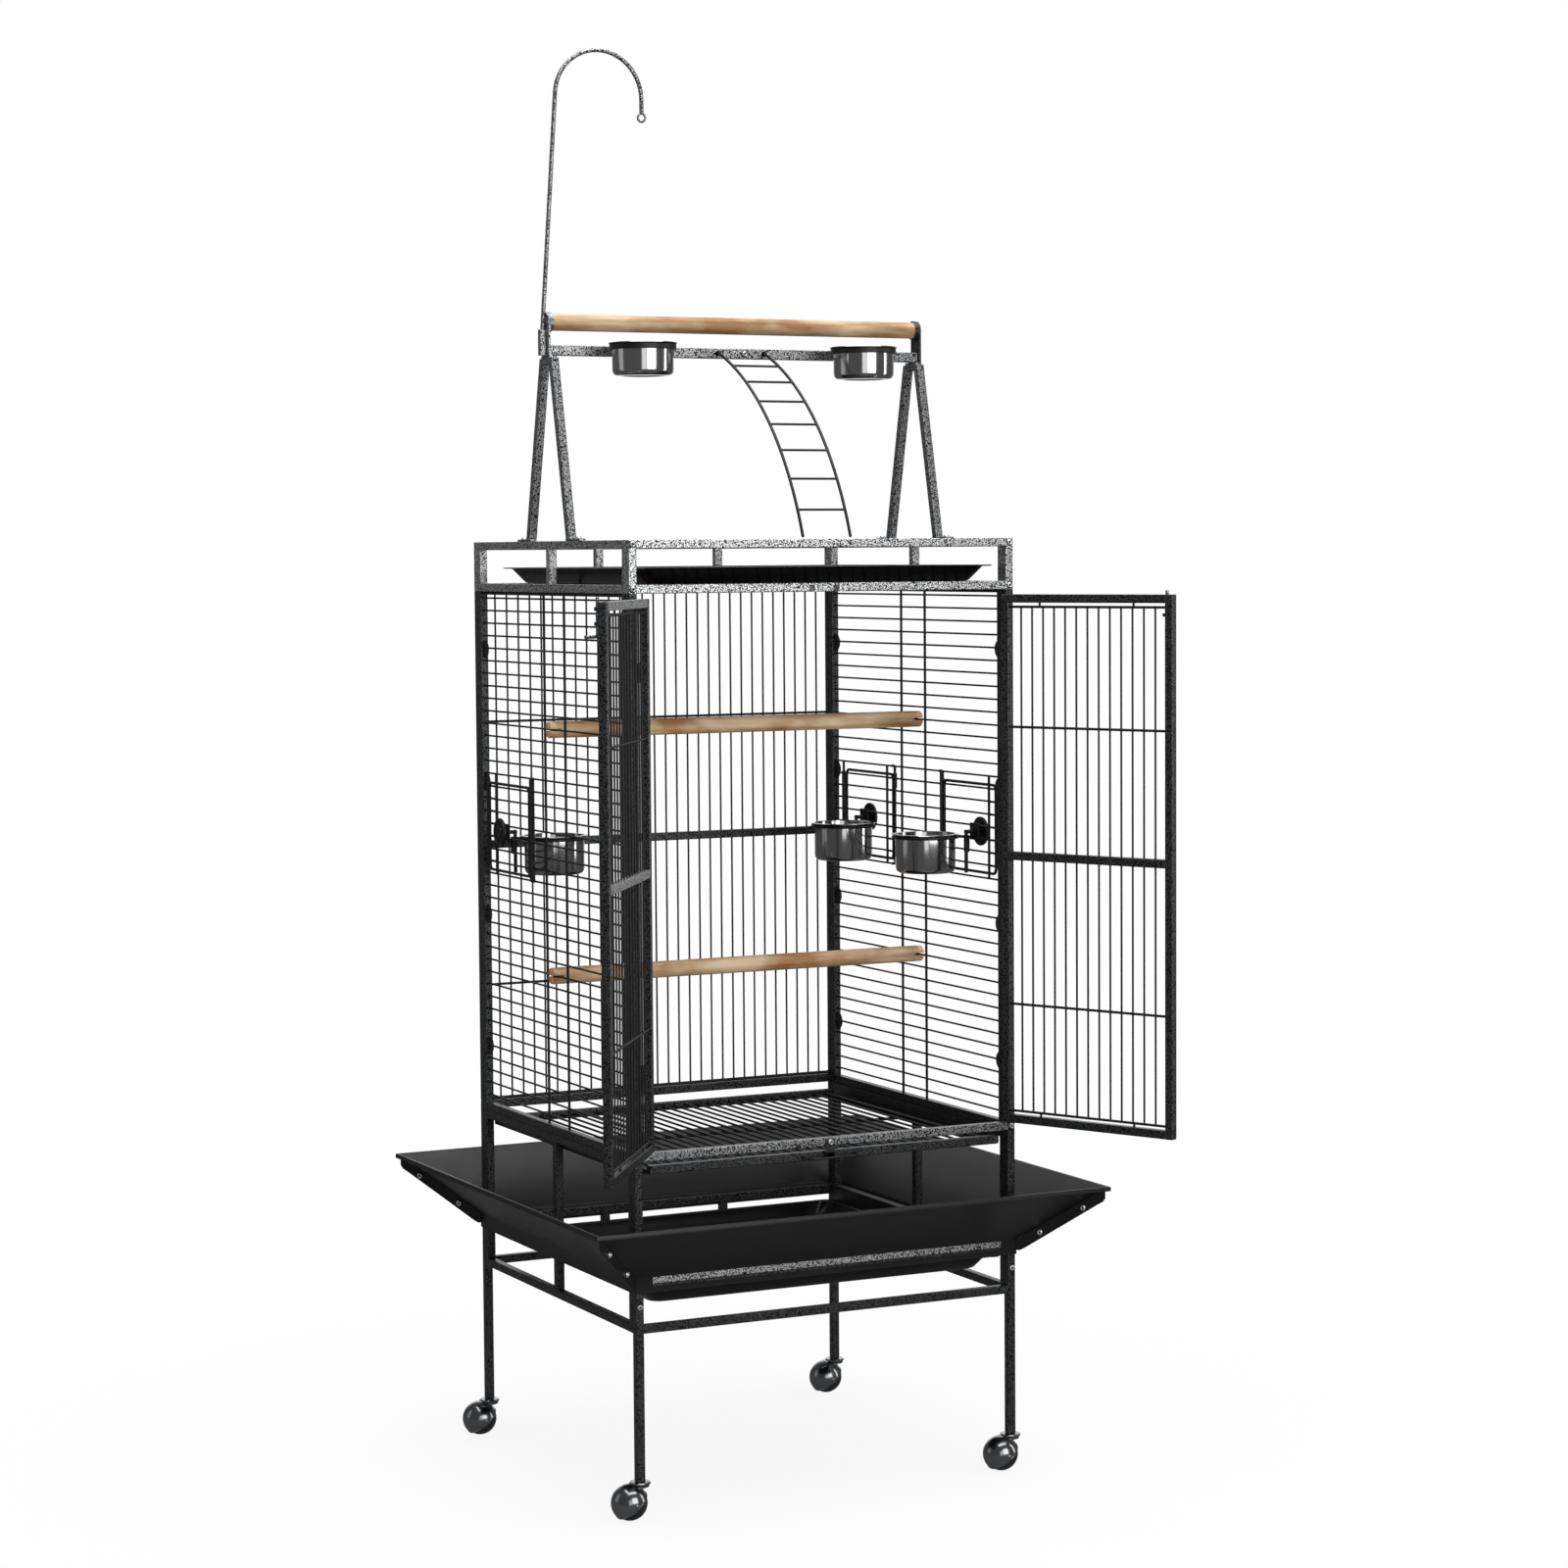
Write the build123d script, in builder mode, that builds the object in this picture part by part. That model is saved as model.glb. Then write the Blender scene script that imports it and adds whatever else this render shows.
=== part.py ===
"""Play-top bird cage on a rolling stand: millimetres, +Z up, front towards -Y, floor at Z = 0."""
import math
import os

from build123d import *

os.makedirs("parts", exist_ok=True)

# Cage and tube sizes
cage_width = 622.0
cage_depth = 591.0
tube = 12.5
wire = 3.0
seat = 0.3
weld = 0.5
run_fit = 0.05

# Heights above the floor
leg_bottom = 55.0
stand_lower_z = 268.0
stand_upper_z = 333.0
leg_top = 437.5
base_rail_z = 502.0
cage_floor_z = 527.0
cage_height = 794.5
top_frame_height = 76.0

# Bolts
bolt_d = 5.0
bolt_head_d = 9.5
bolt_head_h = 3.0
bolt_hole_d = 5.2
spigot_d = 8.5
spigot_length = 25.0
spigot_gap = 0.1

# Casters
ball_r = 25.5
ball_gap = 0.6
hood_wall = 1.3
trail = 16.0
collar_d = 31.0
collar_h = 7.7
stem_d = 8.0
stem_length = 24.0
axle_d = 5.0
hood_drop = 5.0
hood_tilt = 40.0

# Wire grilles
side_pitch = 19.3
side_rows = 41
top_row_drop = 10.0
mid_rod = 4.0
mid_rod_y = 38.5
frame_rod = 5.0
back_wires = 30
back_pitch = 19.25
cross_wire = 4.0
mid_rail_z = 928.0
upper_cross_z = 1119.0
lower_cross_z = 708.0
lug_r = 14.0
lug_out = 2.0
lug_t = 2.5
lug_count = 4
lug_first_z = 616.0
lug_pitch = 205.5

# Seed skirt
skirt_sheet = 1.2
skirt_reach = 100.0
skirt_rim_z = 436.0
skirt_foot_z = 350.0
skirt_lip_z = 327.0
skirt_rim_w = 4.0
skirt_rim_h = 7.0
flange_w = 20.0
skirt_gap = 0.2
skirt_bolt_d = 4.0
skirt_bolt_reach = (27.0, 74.0)
skirt_bolt_drop = 11.0

# Trays
tray_wall = 2.0
tray_lip_w = 10.0
tray_corner = 18.0
tray_front_gap = 15.5
top_tray_width = 584.0
top_tray_length = 516.0
top_tray_depth = 24.0
top_tray_slope = 27.0
bottom_tray_width = 584.0
bottom_tray_length = 550.0
bottom_tray_depth = 21.0
bottom_tray_slope = 24.0
bottom_tray_lip_z = 324.0
runner_w = 14.0
runner_t = 2.5
runner_end_gap = 2.0

# Floor grate
grate_bar_half = 284.5
grate_bar_setback = 5.0
grate_bar_z = 494.8
grate_wires = 29
grate_pitch = 19.2
grate_wire = 3.5
grate_side_rod = 6.0
grate_cross_rod = 5.0
grate_length = 550.0
grate_ledge_w = 25.0
lock_tab_w = 14.0
lock_tab_t = 2.0
lock_tab_gap = 0.5
lock_tab_h = 31.0
pull_width = 84.0
pull_reach = 26.0
pull_wire = 3.5

# Front doors
wall_gap = 3.0
door_post_gap = 0.8
door_meeting_gap = 3.0
door_floor_gap = 3.0
door_head_gap = 7.0
door_wires = 13
door_bar_inset = 6.0
barrel_d = 6.0
barrel_length = 14.0
barrel_clear = 0.4
barrel_z = (640.0, 1210.0)
door_pin_d = 3.2
door_pin_out = 1.0
left_door_open = 125.3
right_door_open = 115.5
latch_d = 5.0
latch_offset = 20.0
latch_standoff = 4.0
latch_length = 56.0
latch_below_rail = 0.5
latch_grip = 18.0
guide_t = 5.0
keeper_w = 12.0
keeper_depth = 9.0
keeper_h = 10.0
keeper_hole_d = 6.5

# Feeder doors
feeder_first_row = 15
feeder_last_row = 21
feeder_hinge_y = 78.0
feeder_free_y = 243.0
feeder_open_in = 88.0
feeder_open_out = 237.0
feeder_plane_out = 5.5
feeder_rod = 4.5
feeder_bar_out = 5.5
feeder_corner = 8.0
sleeve_d = 7.2
sleeve_length = 24.0
keeper_rod = 6.0
keeper_rod_y = 251.0
lock_y = 180.0
lock_disc_d = 44.0
lock_disc_t = 5.0
lock_disc_out = 11.0
lock_shaft_d = 6.0
lock_tongue = 62.0
lock_tongue_w = 5.0
lock_plate = 26.0
lock_plate_t = 2.0
lock_inside = 8.0

# Cups and their rings
cup_r = 46.0
cup_rim_r = 51.0
cup_rim_t = 2.3
cup_wall = 1.2
cup_foot_fillet = 8.0
ring_wire = 4.8
ring_clear = 0.6
feeder_cup_depth = 59.5
feeder_cup_in = 63.0
feeder_cup_y = 136.0
feeder_cup_rim_z = 951.0
plug_d = 9.0
plug_h = 26.0
plug_y = 167.0
play_cup_depth = 49.0
play_cup_x = 183.0
play_cup_y = -66.0
play_ring_h = 8.0
play_ring_t = 3.0

# Perches
perch_d = 25.0
perch_end_out = 8.0
perch_slit = 16.0
upper_perch_row = 10
lower_perch_row = 29

# Play top
play_bar = 15.0
play_bar_half = 308.0
play_bar_z = 1670.0
splice_x = -41.0
splice_length = 80.0
splice_wall = 2.0
splice_gap = 0.1
splice_bolt_x = 11.0
apex_half = 16.5
apex_h = 14.0
foot_y = 76.0
foot_tab = 40.0
foot_tab_t = 3.0
foot_screw_in = 12.0
bracket_t = 3.0
bracket_w = 28.0
bracket_ring_l = 6.0
bracket_ring_t = 1.8
play_perch_z = 1719.0
bracket_slot_w = 5.0
bracket_slot_h = 12.0
hook_rod = 6.5
hook_socket = 9.5
hook_socket_h = 38.0
hook_lean = 4.0
hook_rise = 361.0
hook_arc_r = 69.4
hook_drop = 20.0
hook_eye_d = 16.0
hook_eye_hole = 8.0
hook_eye_t = 3.5

# Ladder
ladder_x = 5.0
ladder_half = 38.5
ladder_wire = 4.5
ladder_rung = 3.5
ladder_bow_r = 474.0
ladder_rungs = 7
ladder_pitch = 51.6
ladder_pin = 5.0
ladder_lead = 4.5
ladder_hole_d = 8.5
ladder_hole_depth = 8.0

# Lines that the sizes above give
half_w = cage_width / 2
half_d = cage_depth / 2
corner_x = half_w - tube / 2
corner_y = half_d - tube / 2
side_post_y = half_d - 1.5 * tube
inner_x = half_w - tube
inner_y = half_d - tube
third_x = cage_width / 6
roof_z = cage_floor_z + cage_height
top_z = roof_z + top_frame_height
panel_z = cage_floor_z - tube
panel_front_y = -(side_post_y - wall_gap)
pin_x = inner_x - door_post_gap / 2
pin_y = -(half_d + barrel_d / 2 + barrel_clear)
bolt_depth = 2 * tube - 1.5
ledge_z = grate_bar_z - seat
first_row_z = roof_z - top_row_drop


def row_z(row):
    """Height of a side wire, counted down from the top one."""
    return first_row_z - row * side_pitch


def block(x, y, z, mode=Mode.ADD):
    """A box between two limits along each axis."""
    with Locations((sum(x) / 2, sum(y) / 2, sum(z) / 2)):
        Box(abs(x[1] - x[0]), abs(y[1] - y[0]), abs(z[1] - z[0]), mode=mode)


def post(x, y, low, high):
    """An upright square tube with its centre line at x, y."""
    block((x - tube / 2, x + tube / 2), (y - tube / 2, y + tube / 2), (low, high))


def rods(axis, diameter, length, centres, mode=Mode.ADD):
    """Round bars of one length along one axis, one for each centre; an upright's seam faces the middle."""
    inward = 180 if centres[0][0] > 0 else 0
    turn = {"x": (0, 90, 0), "y": (90, 0, 0), "z": (0, 0, inward)}[axis]
    with Locations(*centres):
        Cylinder(diameter / 2, length, rotation=turn, mode=mode)


def span(axis, diameter, ends, at, mode=Mode.ADD):
    """One round bar between two limits along an axis, at the other two coordinates."""
    middle = (ends[0] + ends[1]) / 2
    centre = {"x": (middle, *at), "y": (at[0], middle, at[1]), "z": (*at, middle)}[axis]
    rods(axis, diameter, abs(ends[1] - ends[0]), [centre], mode)


def bolt_holes(y_side, heights):
    """Bolt holes along Y through both corner tubes of one end."""
    outer = y_side * half_d
    for x in (-corner_x, corner_x):
        for z in heights:
            span("y", bolt_hole_d, (outer, outer - y_side * (bolt_depth + weld)), (x, z), Mode.SUBTRACT)


def save(piece, name):
    """Label a finished piece and write its file."""
    piece.part.label = name
    export_step(piece.part, f"parts/{name}.step")


stand_bolt_z = (stand_lower_z + stand_upper_z + tube) / 2
panel_bolt_z = cage_floor_z - tube / 2
top_bolt_z = (roof_z + tube / 2, top_z - tube / 2)
ends = {"front": -1, "back": 1}
sides = {"left": -1, "right": 1}


def stand_end(name, y_side):
    """Front or back of the stand: two legs, two rails and, behind, two short posts."""
    y = y_side * corner_y
    y_band = (y - tube / 2, y + tube / 2)
    with BuildPart() as frame:
        for x in (-corner_x, corner_x):
            post(x, y, leg_bottom, leg_top)
        for z in (stand_lower_z, stand_upper_z):
            block((-inner_x, inner_x), y_band, (z, z + tube))
        if y_side > 0:
            for x in (-third_x, third_x):
                post(x, y, stand_lower_z + tube, stand_upper_z)
        for x in (-corner_x, corner_x):
            stem_top = leg_bottom + stem_length + 1
            spigot_bottom = leg_top - spigot_length - 1
            span("z", stem_d + 2 * run_fit, (leg_bottom, stem_top), (x, y), Mode.SUBTRACT)
            span("z", spigot_d + 2 * spigot_gap, (spigot_bottom, leg_top), (x, y), Mode.SUBTRACT)
        bolt_holes(y_side, [stand_bolt_z])
    save(frame, f"stand_{name}_frame")


def stand_side(name, x_side):
    """Left or right of the stand, with the angle that carries the bottom tray."""
    x = x_side * corner_x
    x_band = (x - tube / 2, x + tube / 2)
    inside = x_side * inner_x
    ledge_top = bottom_tray_lip_z - tray_wall - seat
    with BuildPart() as frame:
        for y in (-side_post_y, side_post_y):
            post(x, y, stand_lower_z, stand_upper_z + tube)
        run = side_post_y - tube / 2
        for z in (stand_lower_z, stand_upper_z):
            block(x_band, (-run, run), (z, z + tube))
        post(x, 0, stand_lower_z + tube, stand_upper_z)
        angle_y = (-run + runner_end_gap, run - runner_end_gap)
        block((inside, inside - x_side * runner_w), angle_y, (ledge_top - runner_t, ledge_top))
        web_top = stand_upper_z + tube
        block((inside, inside - x_side * runner_t), angle_y, (ledge_top - runner_t, web_top))
        for y_side in (-1, 1):
            bolt_holes(y_side, [stand_bolt_z])
    save(frame, f"stand_{name}_frame")


def base_end(name, y_side):
    """Front or back of the cage base: posts with spigots and a rail; the front posts carry the doors."""
    y = y_side * corner_y
    y_band = (y - tube / 2, y + tube / 2)
    with BuildPart() as frame:
        for x in (-corner_x, corner_x):
            post(x, y, leg_top, cage_floor_z if y_side > 0 else roof_z)
            span("z", spigot_d, (leg_top - spigot_length, leg_top), (x, y))
        block((-inner_x, inner_x), y_band, (panel_z, cage_floor_z))
        if y_side > 0:
            for x in (-third_x, third_x):
                post(x, y, stand_upper_z + tube, panel_z)
        else:
            for x_side in (-1, 1):
                for z in barrel_z:
                    at = (x_side * pin_x, pin_y)
                    strap = (x_side * (inner_x + seat), x_side * (inner_x + barrel_d))
                    block(strap, (pin_y, -half_d + weld), (z - barrel_length, z))
                    span("z", barrel_d, (z - barrel_length, z), at)
                    span("z", door_pin_d, (z - weld, z + seat + barrel_length + door_pin_out), at)
            span("y", bolt_hole_d, (y_band[0], y_band[1] - 1), (0, panel_bolt_z), Mode.SUBTRACT)
        bolt_holes(y_side, [panel_bolt_z])
    save(frame, f"base_{name}_frame")


def base_side(name, x_side):
    """Left or right of the cage base, with the angle that the grate slides on."""
    x = x_side * corner_x
    x_band = (x - tube / 2, x + tube / 2)
    inside = x_side * inner_x
    run = side_post_y - tube / 2
    with BuildPart() as frame:
        for y in (-side_post_y, 0, side_post_y):
            post(x, y, stand_upper_z + tube, base_rail_z)
        block(x_band, (-run - tube, run + tube), (base_rail_z, panel_z))
        angle_y = (-run + runner_end_gap, run - runner_end_gap)
        block((inside, inside - x_side * grate_ledge_w), angle_y, (ledge_z - runner_t, ledge_z))
        block((inside, inside - x_side * runner_t), angle_y, (ledge_z - runner_t, panel_z))
    save(frame, f"base_{name}_frame")


def top_end(name, y_side):
    """Front or back of the play-top frame; the front one carries the two latch keepers."""
    y = y_side * corner_y
    y_band = (y - tube / 2, y + tube / 2)
    with BuildPart() as frame:
        for x in (-corner_x, corner_x):
            post(x, y, roof_z, top_z)
        for z in (roof_z, top_z - tube):
            block((-inner_x, inner_x), y_band, (z, z + tube))
        if y_side > 0:
            for x in (-third_x, third_x):
                post(x, y, roof_z + tube, top_z - tube)
        else:
            for x in (-latch_offset, latch_offset):
                x_band = (x - keeper_w / 2, x + keeper_w / 2)
                low = roof_z + seat
                block(x_band, (-half_d - keeper_depth, -half_d + weld), (low, low + keeper_h))
                at = (x, -half_d - latch_standoff)
                span("z", keeper_hole_d, (low, low + keeper_h), at, Mode.SUBTRACT)
        bolt_holes(y_side, top_bolt_z)
    save(frame, f"top_{name}_frame")


def top_side(name, x_side):
    """Left or right of the play-top frame, drilled for the feet of the perch stand."""
    x = x_side * corner_x
    x_band = (x - tube / 2, x + tube / 2)
    run = side_post_y - tube / 2
    with BuildPart() as frame:
        for y in (-side_post_y, side_post_y):
            post(x, y, roof_z, top_z)
        for z in (roof_z, top_z - tube):
            block(x_band, (-run, run), (z, z + tube))
        post(x, 0, roof_z + tube, top_z - tube)
        for y_side in (-1, 1):
            bolt_holes(y_side, top_bolt_z)
            at = (x, y_side * (foot_y + foot_tab - foot_screw_in))
            span("z", bolt_hole_d, (top_z - tube + 2, top_z), at, Mode.SUBTRACT)
    save(frame, f"top_{name}_frame")


for end_name, end_sign in ends.items():
    stand_end(end_name, end_sign)
    base_end(end_name, end_sign)
    top_end(end_name, end_sign)
for side_name, side_sign in sides.items():
    stand_side(side_name, side_sign)
    base_side(side_name, side_sign)
    top_side(side_name, side_sign)


def side_panel(name, x_side, feeders):
    """A side wall of level wires, with an opening for each feeder (1 rear, -1 front)."""
    x = x_side * corner_x
    rod_x = x - x_side * ((wire + mid_rod) / 2 - weld)
    hinge_x = x + x_side * feeder_plane_out
    keeper_x = x + x_side * ((wire + keeper_rod) / 2 - weld)
    front, rear = panel_front_y, side_post_y
    low, high = front + tube / 2, rear - tube / 2
    stub = tube / 4
    open_rows = range(feeder_first_row, feeder_last_row + 1)
    with BuildPart() as panel:
        post(x, front, panel_z, roof_z)
        post(x, rear, panel_z, roof_z)
        block((x - tube / 2, x + tube / 2), (low, high), (panel_z, cage_floor_z))
        for number in range(lug_count):
            z = lug_first_z + number * lug_pitch
            rods("x", 2 * lug_r, lug_t, [(x, low + lug_out, z), (x, high - lug_out, z)])
        for y_side in (-1, 1):
            bolt_holes(y_side, [panel_bolt_z])
        span("y", frame_rod, (low - stub, high + stub), (x, roof_z - frame_rod / 2))
        for y in (-mid_rod_y, mid_rod_y):
            span("z", mid_rod, (cage_floor_z - stub, roof_z - weld), (rod_x, y))
        for f in feeders:
            below, above = row_z(feeder_last_row + 1), row_z(feeder_first_row - 1)
            for y in (feeder_open_in, feeder_open_out):
                span("z", mid_rod, (below, above), (rod_x, f * y))
            hinge_span = (below - wire, above + wire)
            span("z", feeder_rod, hinge_span, (hinge_x, f * feeder_hinge_y))
            for z in (below, above):
                span("x", mid_rod, (x, hinge_x), (f * feeder_hinge_y, z))
            keeper_span = (row_z(feeder_last_row) - wire, row_z(feeder_first_row) + wire)
            span("z", keeper_rod, keeper_span, (keeper_x, f * keeper_rod_y))
        stops = sorted([low - stub, high + stub] + [f * y for f in feeders
                                                    for y in (feeder_open_in, feeder_open_out)])
        for start, stop in zip(stops[::2], stops[1::2]):
            centres = [(x, (start + stop) / 2, row_z(row)) for row in open_rows]
            rods("y", wire, stop - start, centres)
        whole = [(x, (low + high) / 2, row_z(row)) for row in range(side_rows) if row not in open_rows]
        rods("y", wire, high - low + 2 * stub, whole)
    save(panel, f"{name}_panel")


side_panel("left", -1, [1])
side_panel("right", 1, [1, -1])

# Back wall of upright wires
with BuildPart() as back_panel:
    back_low, back_high = cage_floor_z + frame_rod / 2 + seat, roof_z - frame_rod / 2 - seat
    for wall_x in (-corner_x, corner_x):
        post(wall_x, corner_y, cage_floor_z, roof_z)
    rail_band = (corner_y - tube / 2, corner_y + tube / 2)
    block((-inner_x, inner_x), rail_band, (mid_rail_z - tube / 2, mid_rail_z + tube / 2))
    across = 2 * inner_x + tube / 2
    rods("x", frame_rod, across, [(0, corner_y, back_low), (0, corner_y, back_high)])
    cross_y = corner_y + (wire + cross_wire) / 2 - weld
    rods("x", cross_wire, across, [(0, cross_y, z) for z in (lower_cross_z, upper_cross_z)])
    wire_x = [(i - (back_wires - 1) / 2) * back_pitch for i in range(back_wires)]
    wire_middle = (back_low + back_high) / 2
    rods("z", wire, back_high - back_low, [(at, corner_y, wire_middle) for at in wire_x])
save(back_panel, "back_panel")

# Roof grille, level with the top of the lower play-top rails
with BuildPart() as roof_grille:
    roof_wire_z = roof_z + tube - wire / 2
    roof_rod_z = roof_wire_z - (wire + frame_rod) / 2 + weld
    roof_x = inner_x - seat - frame_rod / 2
    roof_y = inner_y - seat - frame_rod / 2
    rods("y", frame_rod, 2 * roof_y + frame_rod, [(-roof_x, 0, roof_rod_z), (roof_x, 0, roof_rod_z)])
    rods("x", frame_rod - weld, 2 * roof_x, [(0, y, roof_rod_z) for y in (-roof_y, 0, roof_y)])
    rods("y", wire, 2 * roof_y, [(at, 0, roof_wire_z) for at in wire_x])
save(roof_grille, "roof_grille")


def skirt(name, x_dir, y_dir, half_run, half_cross):
    """One sloping seed guard: folded sheet, mitred at 45 degrees, with a bolting flange at each end."""
    along = Plane(origin=(0, 0, 0), x_dir=x_dir, z_dir=(0, 0, 1))
    section = Plane(origin=(0, 0, 0), x_dir=y_dir, z_dir=along.x_dir)
    length = 2 * (half_run + skirt_reach + skirt_rim_w)
    foot = half_cross + skirt_gap
    tip = half_cross + skirt_reach
    slope = math.atan2(skirt_rim_z - skirt_foot_z, skirt_reach - skirt_gap)
    under = skirt_sheet / math.cos(slope)
    rim = tip + skirt_rim_w
    edge = skirt_gap / 2
    inset = edge + skirt_sheet * math.sqrt(2)

    def plan(shrink):
        """Corners of the guard seen from above, drawn in from the mitre lines."""
        far = skirt_reach + 2 * skirt_rim_w
        return [(-half_run + shrink, half_cross), (half_run - shrink, half_cross),
                (half_run + far - shrink, half_cross + far), (-half_run - far + shrink, half_cross + far)]

    with BuildPart() as guard:
        with BuildSketch(section):
            with BuildLine():
                Polyline((foot + skirt_sheet, skirt_foot_z - under), (tip, skirt_rim_z - under),
                         (tip, skirt_rim_z - under - flange_w),
                         (foot + skirt_sheet, skirt_foot_z - under - flange_w), close=True)
            make_face()
        extrude(amount=length, both=True)
        with BuildSketch(along):
            with BuildLine():
                Polyline(*plan(inset), close=True)
            make_face()
        extrude(amount=2 * skirt_rim_z, both=True, mode=Mode.SUBTRACT)
        with BuildSketch(section):
            with BuildLine():
                Polyline((foot, skirt_lip_z), (foot, skirt_foot_z), (tip, skirt_rim_z), (rim, skirt_rim_z),
                         (rim, skirt_rim_z - skirt_rim_h), (rim - skirt_sheet, skirt_rim_z - skirt_rim_h),
                         (rim - skirt_sheet, skirt_rim_z - skirt_sheet), (tip, skirt_rim_z - skirt_sheet),
                         (foot + skirt_sheet, skirt_foot_z - under), (foot + skirt_sheet, skirt_lip_z),
                         close=True)
            make_face()
        extrude(amount=length, both=True)
        with BuildSketch(along):
            with BuildLine():
                Polyline(*plan(edge), close=True)
            make_face()
        extrude(amount=2 * skirt_rim_z, both=True, mode=Mode.INTERSECT)
        for corner in (-1, 1):
            for reach, drop_z in skirt_bolt_places():
                place = along.origin + Vector(*x_dir) * (corner * (half_run + reach))
                place = place + Vector(*y_dir) * (half_cross + reach) + Vector(0, 0, drop_z)
                axis = Vector(*x_dir) * corner - Vector(*y_dir)
                with Locations(Plane(origin=place, z_dir=axis)):
                    Cylinder(skirt_bolt_d / 2 + skirt_gap / 2, 4 * skirt_sheet, mode=Mode.SUBTRACT)
    save(guard, f"skirt_{name}")


def skirt_bolt_places():
    """Reach and height of the bolts that clamp two neighbouring guards."""
    rise = (skirt_rim_z - skirt_foot_z) / skirt_reach
    return [(reach, skirt_foot_z + reach * rise - skirt_bolt_drop) for reach in skirt_bolt_reach]


skirt("front", (-1, 0, 0), (0, -1, 0), half_w, half_d)
skirt("back", (1, 0, 0), (0, 1, 0), half_w, half_d)
skirt("left", (0, 1, 0), (-1, 0, 0), half_d, half_w)
skirt("right", (0, -1, 0), (1, 0, 0), half_d, half_w)


def tray(name, width, length, depth, slope, front, floor_z):
    """A shallow tray with sloping walls and a flat lip, drawn out towards the front."""
    middle_y = front + length / 2
    lip_z = floor_z + depth
    with BuildPart() as pan:
        with BuildSketch(Plane.XY.offset(floor_z)):
            with Locations((0, middle_y)):
                RectangleRounded(width - 2 * slope, length - 2 * slope, tray_corner)
        with BuildSketch(Plane.XY.offset(lip_z)):
            with Locations((0, middle_y)):
                RectangleRounded(width - 2 * tray_lip_w, length - 2 * tray_lip_w, tray_corner)
        loft(ruled=True)
        with BuildSketch(Plane.XY.offset(lip_z)):
            with Locations((0, middle_y)):
                RectangleRounded(width, length, tray_corner)
        extrude(amount=-tray_wall)
        with BuildSketch(Plane.XY.offset(floor_z + tray_wall)):
            with Locations((0, middle_y)):
                RectangleRounded(width - 2 * slope - tray_wall, length - 2 * slope - tray_wall, tray_corner)
        with BuildSketch(Plane.XY.offset(lip_z)):
            with Locations((0, middle_y)):
                rim = 2 * tray_lip_w + 2 * tray_wall
                RectangleRounded(width - rim, length - rim, tray_corner)
        loft(ruled=True, mode=Mode.SUBTRACT)
    save(pan, name)


top_tray_floor = roof_z + tube + seat
tray("top_tray", top_tray_width, top_tray_length, top_tray_depth, top_tray_slope,
     -half_d + tray_front_gap, top_tray_floor)
tray("bottom_tray", bottom_tray_width, bottom_tray_length, bottom_tray_depth, bottom_tray_slope,
     -half_d + tray_front_gap, bottom_tray_lip_z - bottom_tray_depth)

# Floor grate with its front bar, lock tab, lock screw and pull
grate_front = -half_d + grate_bar_setback
grate_rear = grate_front + grate_length
with BuildPart() as grate:
    bar_z = (grate_bar_z, grate_bar_z + tube)
    block((-grate_bar_half, grate_bar_half), (grate_front, grate_front + tube), bar_z)
    rod_z = grate_bar_z + grate_side_rod / 2
    rod_x = grate_bar_half - grate_side_rod / 2
    rod_start = grate_front + tube / 2
    for at_x in (-rod_x, rod_x):
        span("y", grate_side_rod, (rod_start, grate_rear), (at_x, rod_z))
    cross_places = [grate_rear - grate_side_rod, (grate_front + grate_rear) / 2]
    rods("x", grate_cross_rod, 2 * rod_x, [(0, y, rod_z) for y in cross_places])
    tab_back = -half_d - lock_tab_gap
    tab_x = (-lock_tab_w / 2, lock_tab_w / 2)
    block(tab_x, (tab_back - lock_tab_t, grate_front + weld), (bar_z[0] + 1, bar_z[1] - 1))
    block(tab_x, (tab_back - lock_tab_t, tab_back), (bar_z[0] + 1, bar_z[0] + lock_tab_h))
    screw_y = tab_back - lock_tab_t
    span("y", bolt_head_d, (screw_y - bolt_head_h, screw_y + weld), (0, panel_bolt_z))
    screw_end = -half_d + tube - 2
    span("y", bolt_d - 0.4, (screw_y, screw_end), (0, panel_bolt_z))
    pull_z = grate_bar_z + tube / 2
    pull_tip = grate_front - pull_reach
    with BuildLine(Plane.XY.offset(pull_z)) as pull_path:
        FilletPolyline((-pull_width / 2, grate_front + weld), (-pull_width / 2, pull_tip),
                       (pull_width / 2, pull_tip), (pull_width / 2, grate_front + weld),
                       radius=3 * pull_wire)
    with BuildSketch(Plane(origin=pull_path.line @ 0, z_dir=pull_path.line % 0)):
        Circle(pull_wire / 2)
    sweep(path=pull_path.line)
    slat_z = rod_z + (grate_cross_rod + grate_wire) / 2 - weld
    slats = [((i - (grate_wires - 1) / 2) * grate_pitch) for i in range(grate_wires)]
    slat_end = grate_rear - grate_wire
    rods("y", grate_wire, slat_end - rod_start, [(at, (rod_start + slat_end) / 2, slat_z) for at in slats])
save(grate, "grate")


door_low = cage_floor_z + door_floor_gap
door_high = roof_z - door_head_gap
door_span = pin_x - door_meeting_gap / 2
stile_x = (tube + door_post_gap) / 2
leaf_back = -pin_y - corner_y
latch_top = roof_z - latch_below_rail
latch_x = pin_x - latch_offset
latch_y = tube / 2 + latch_standoff
upper_guide = door_high - tube + weld
lower_guide = upper_guide - 4 * guide_t


def door_plane(x_side, opened):
    """Axes of an opened front door, in its leaf's middle plane: X from the pins to the free edge, Z up."""
    turn = math.radians(opened)
    along = (-x_side * math.cos(turn), -math.sin(turn), 0)
    start = (x_side * (pin_x - leaf_back * math.sin(turn)), pin_y + leaf_back * math.cos(turn), 0)
    return Plane(origin=start, x_dir=along, z_dir=(0, 0, 1))


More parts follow.
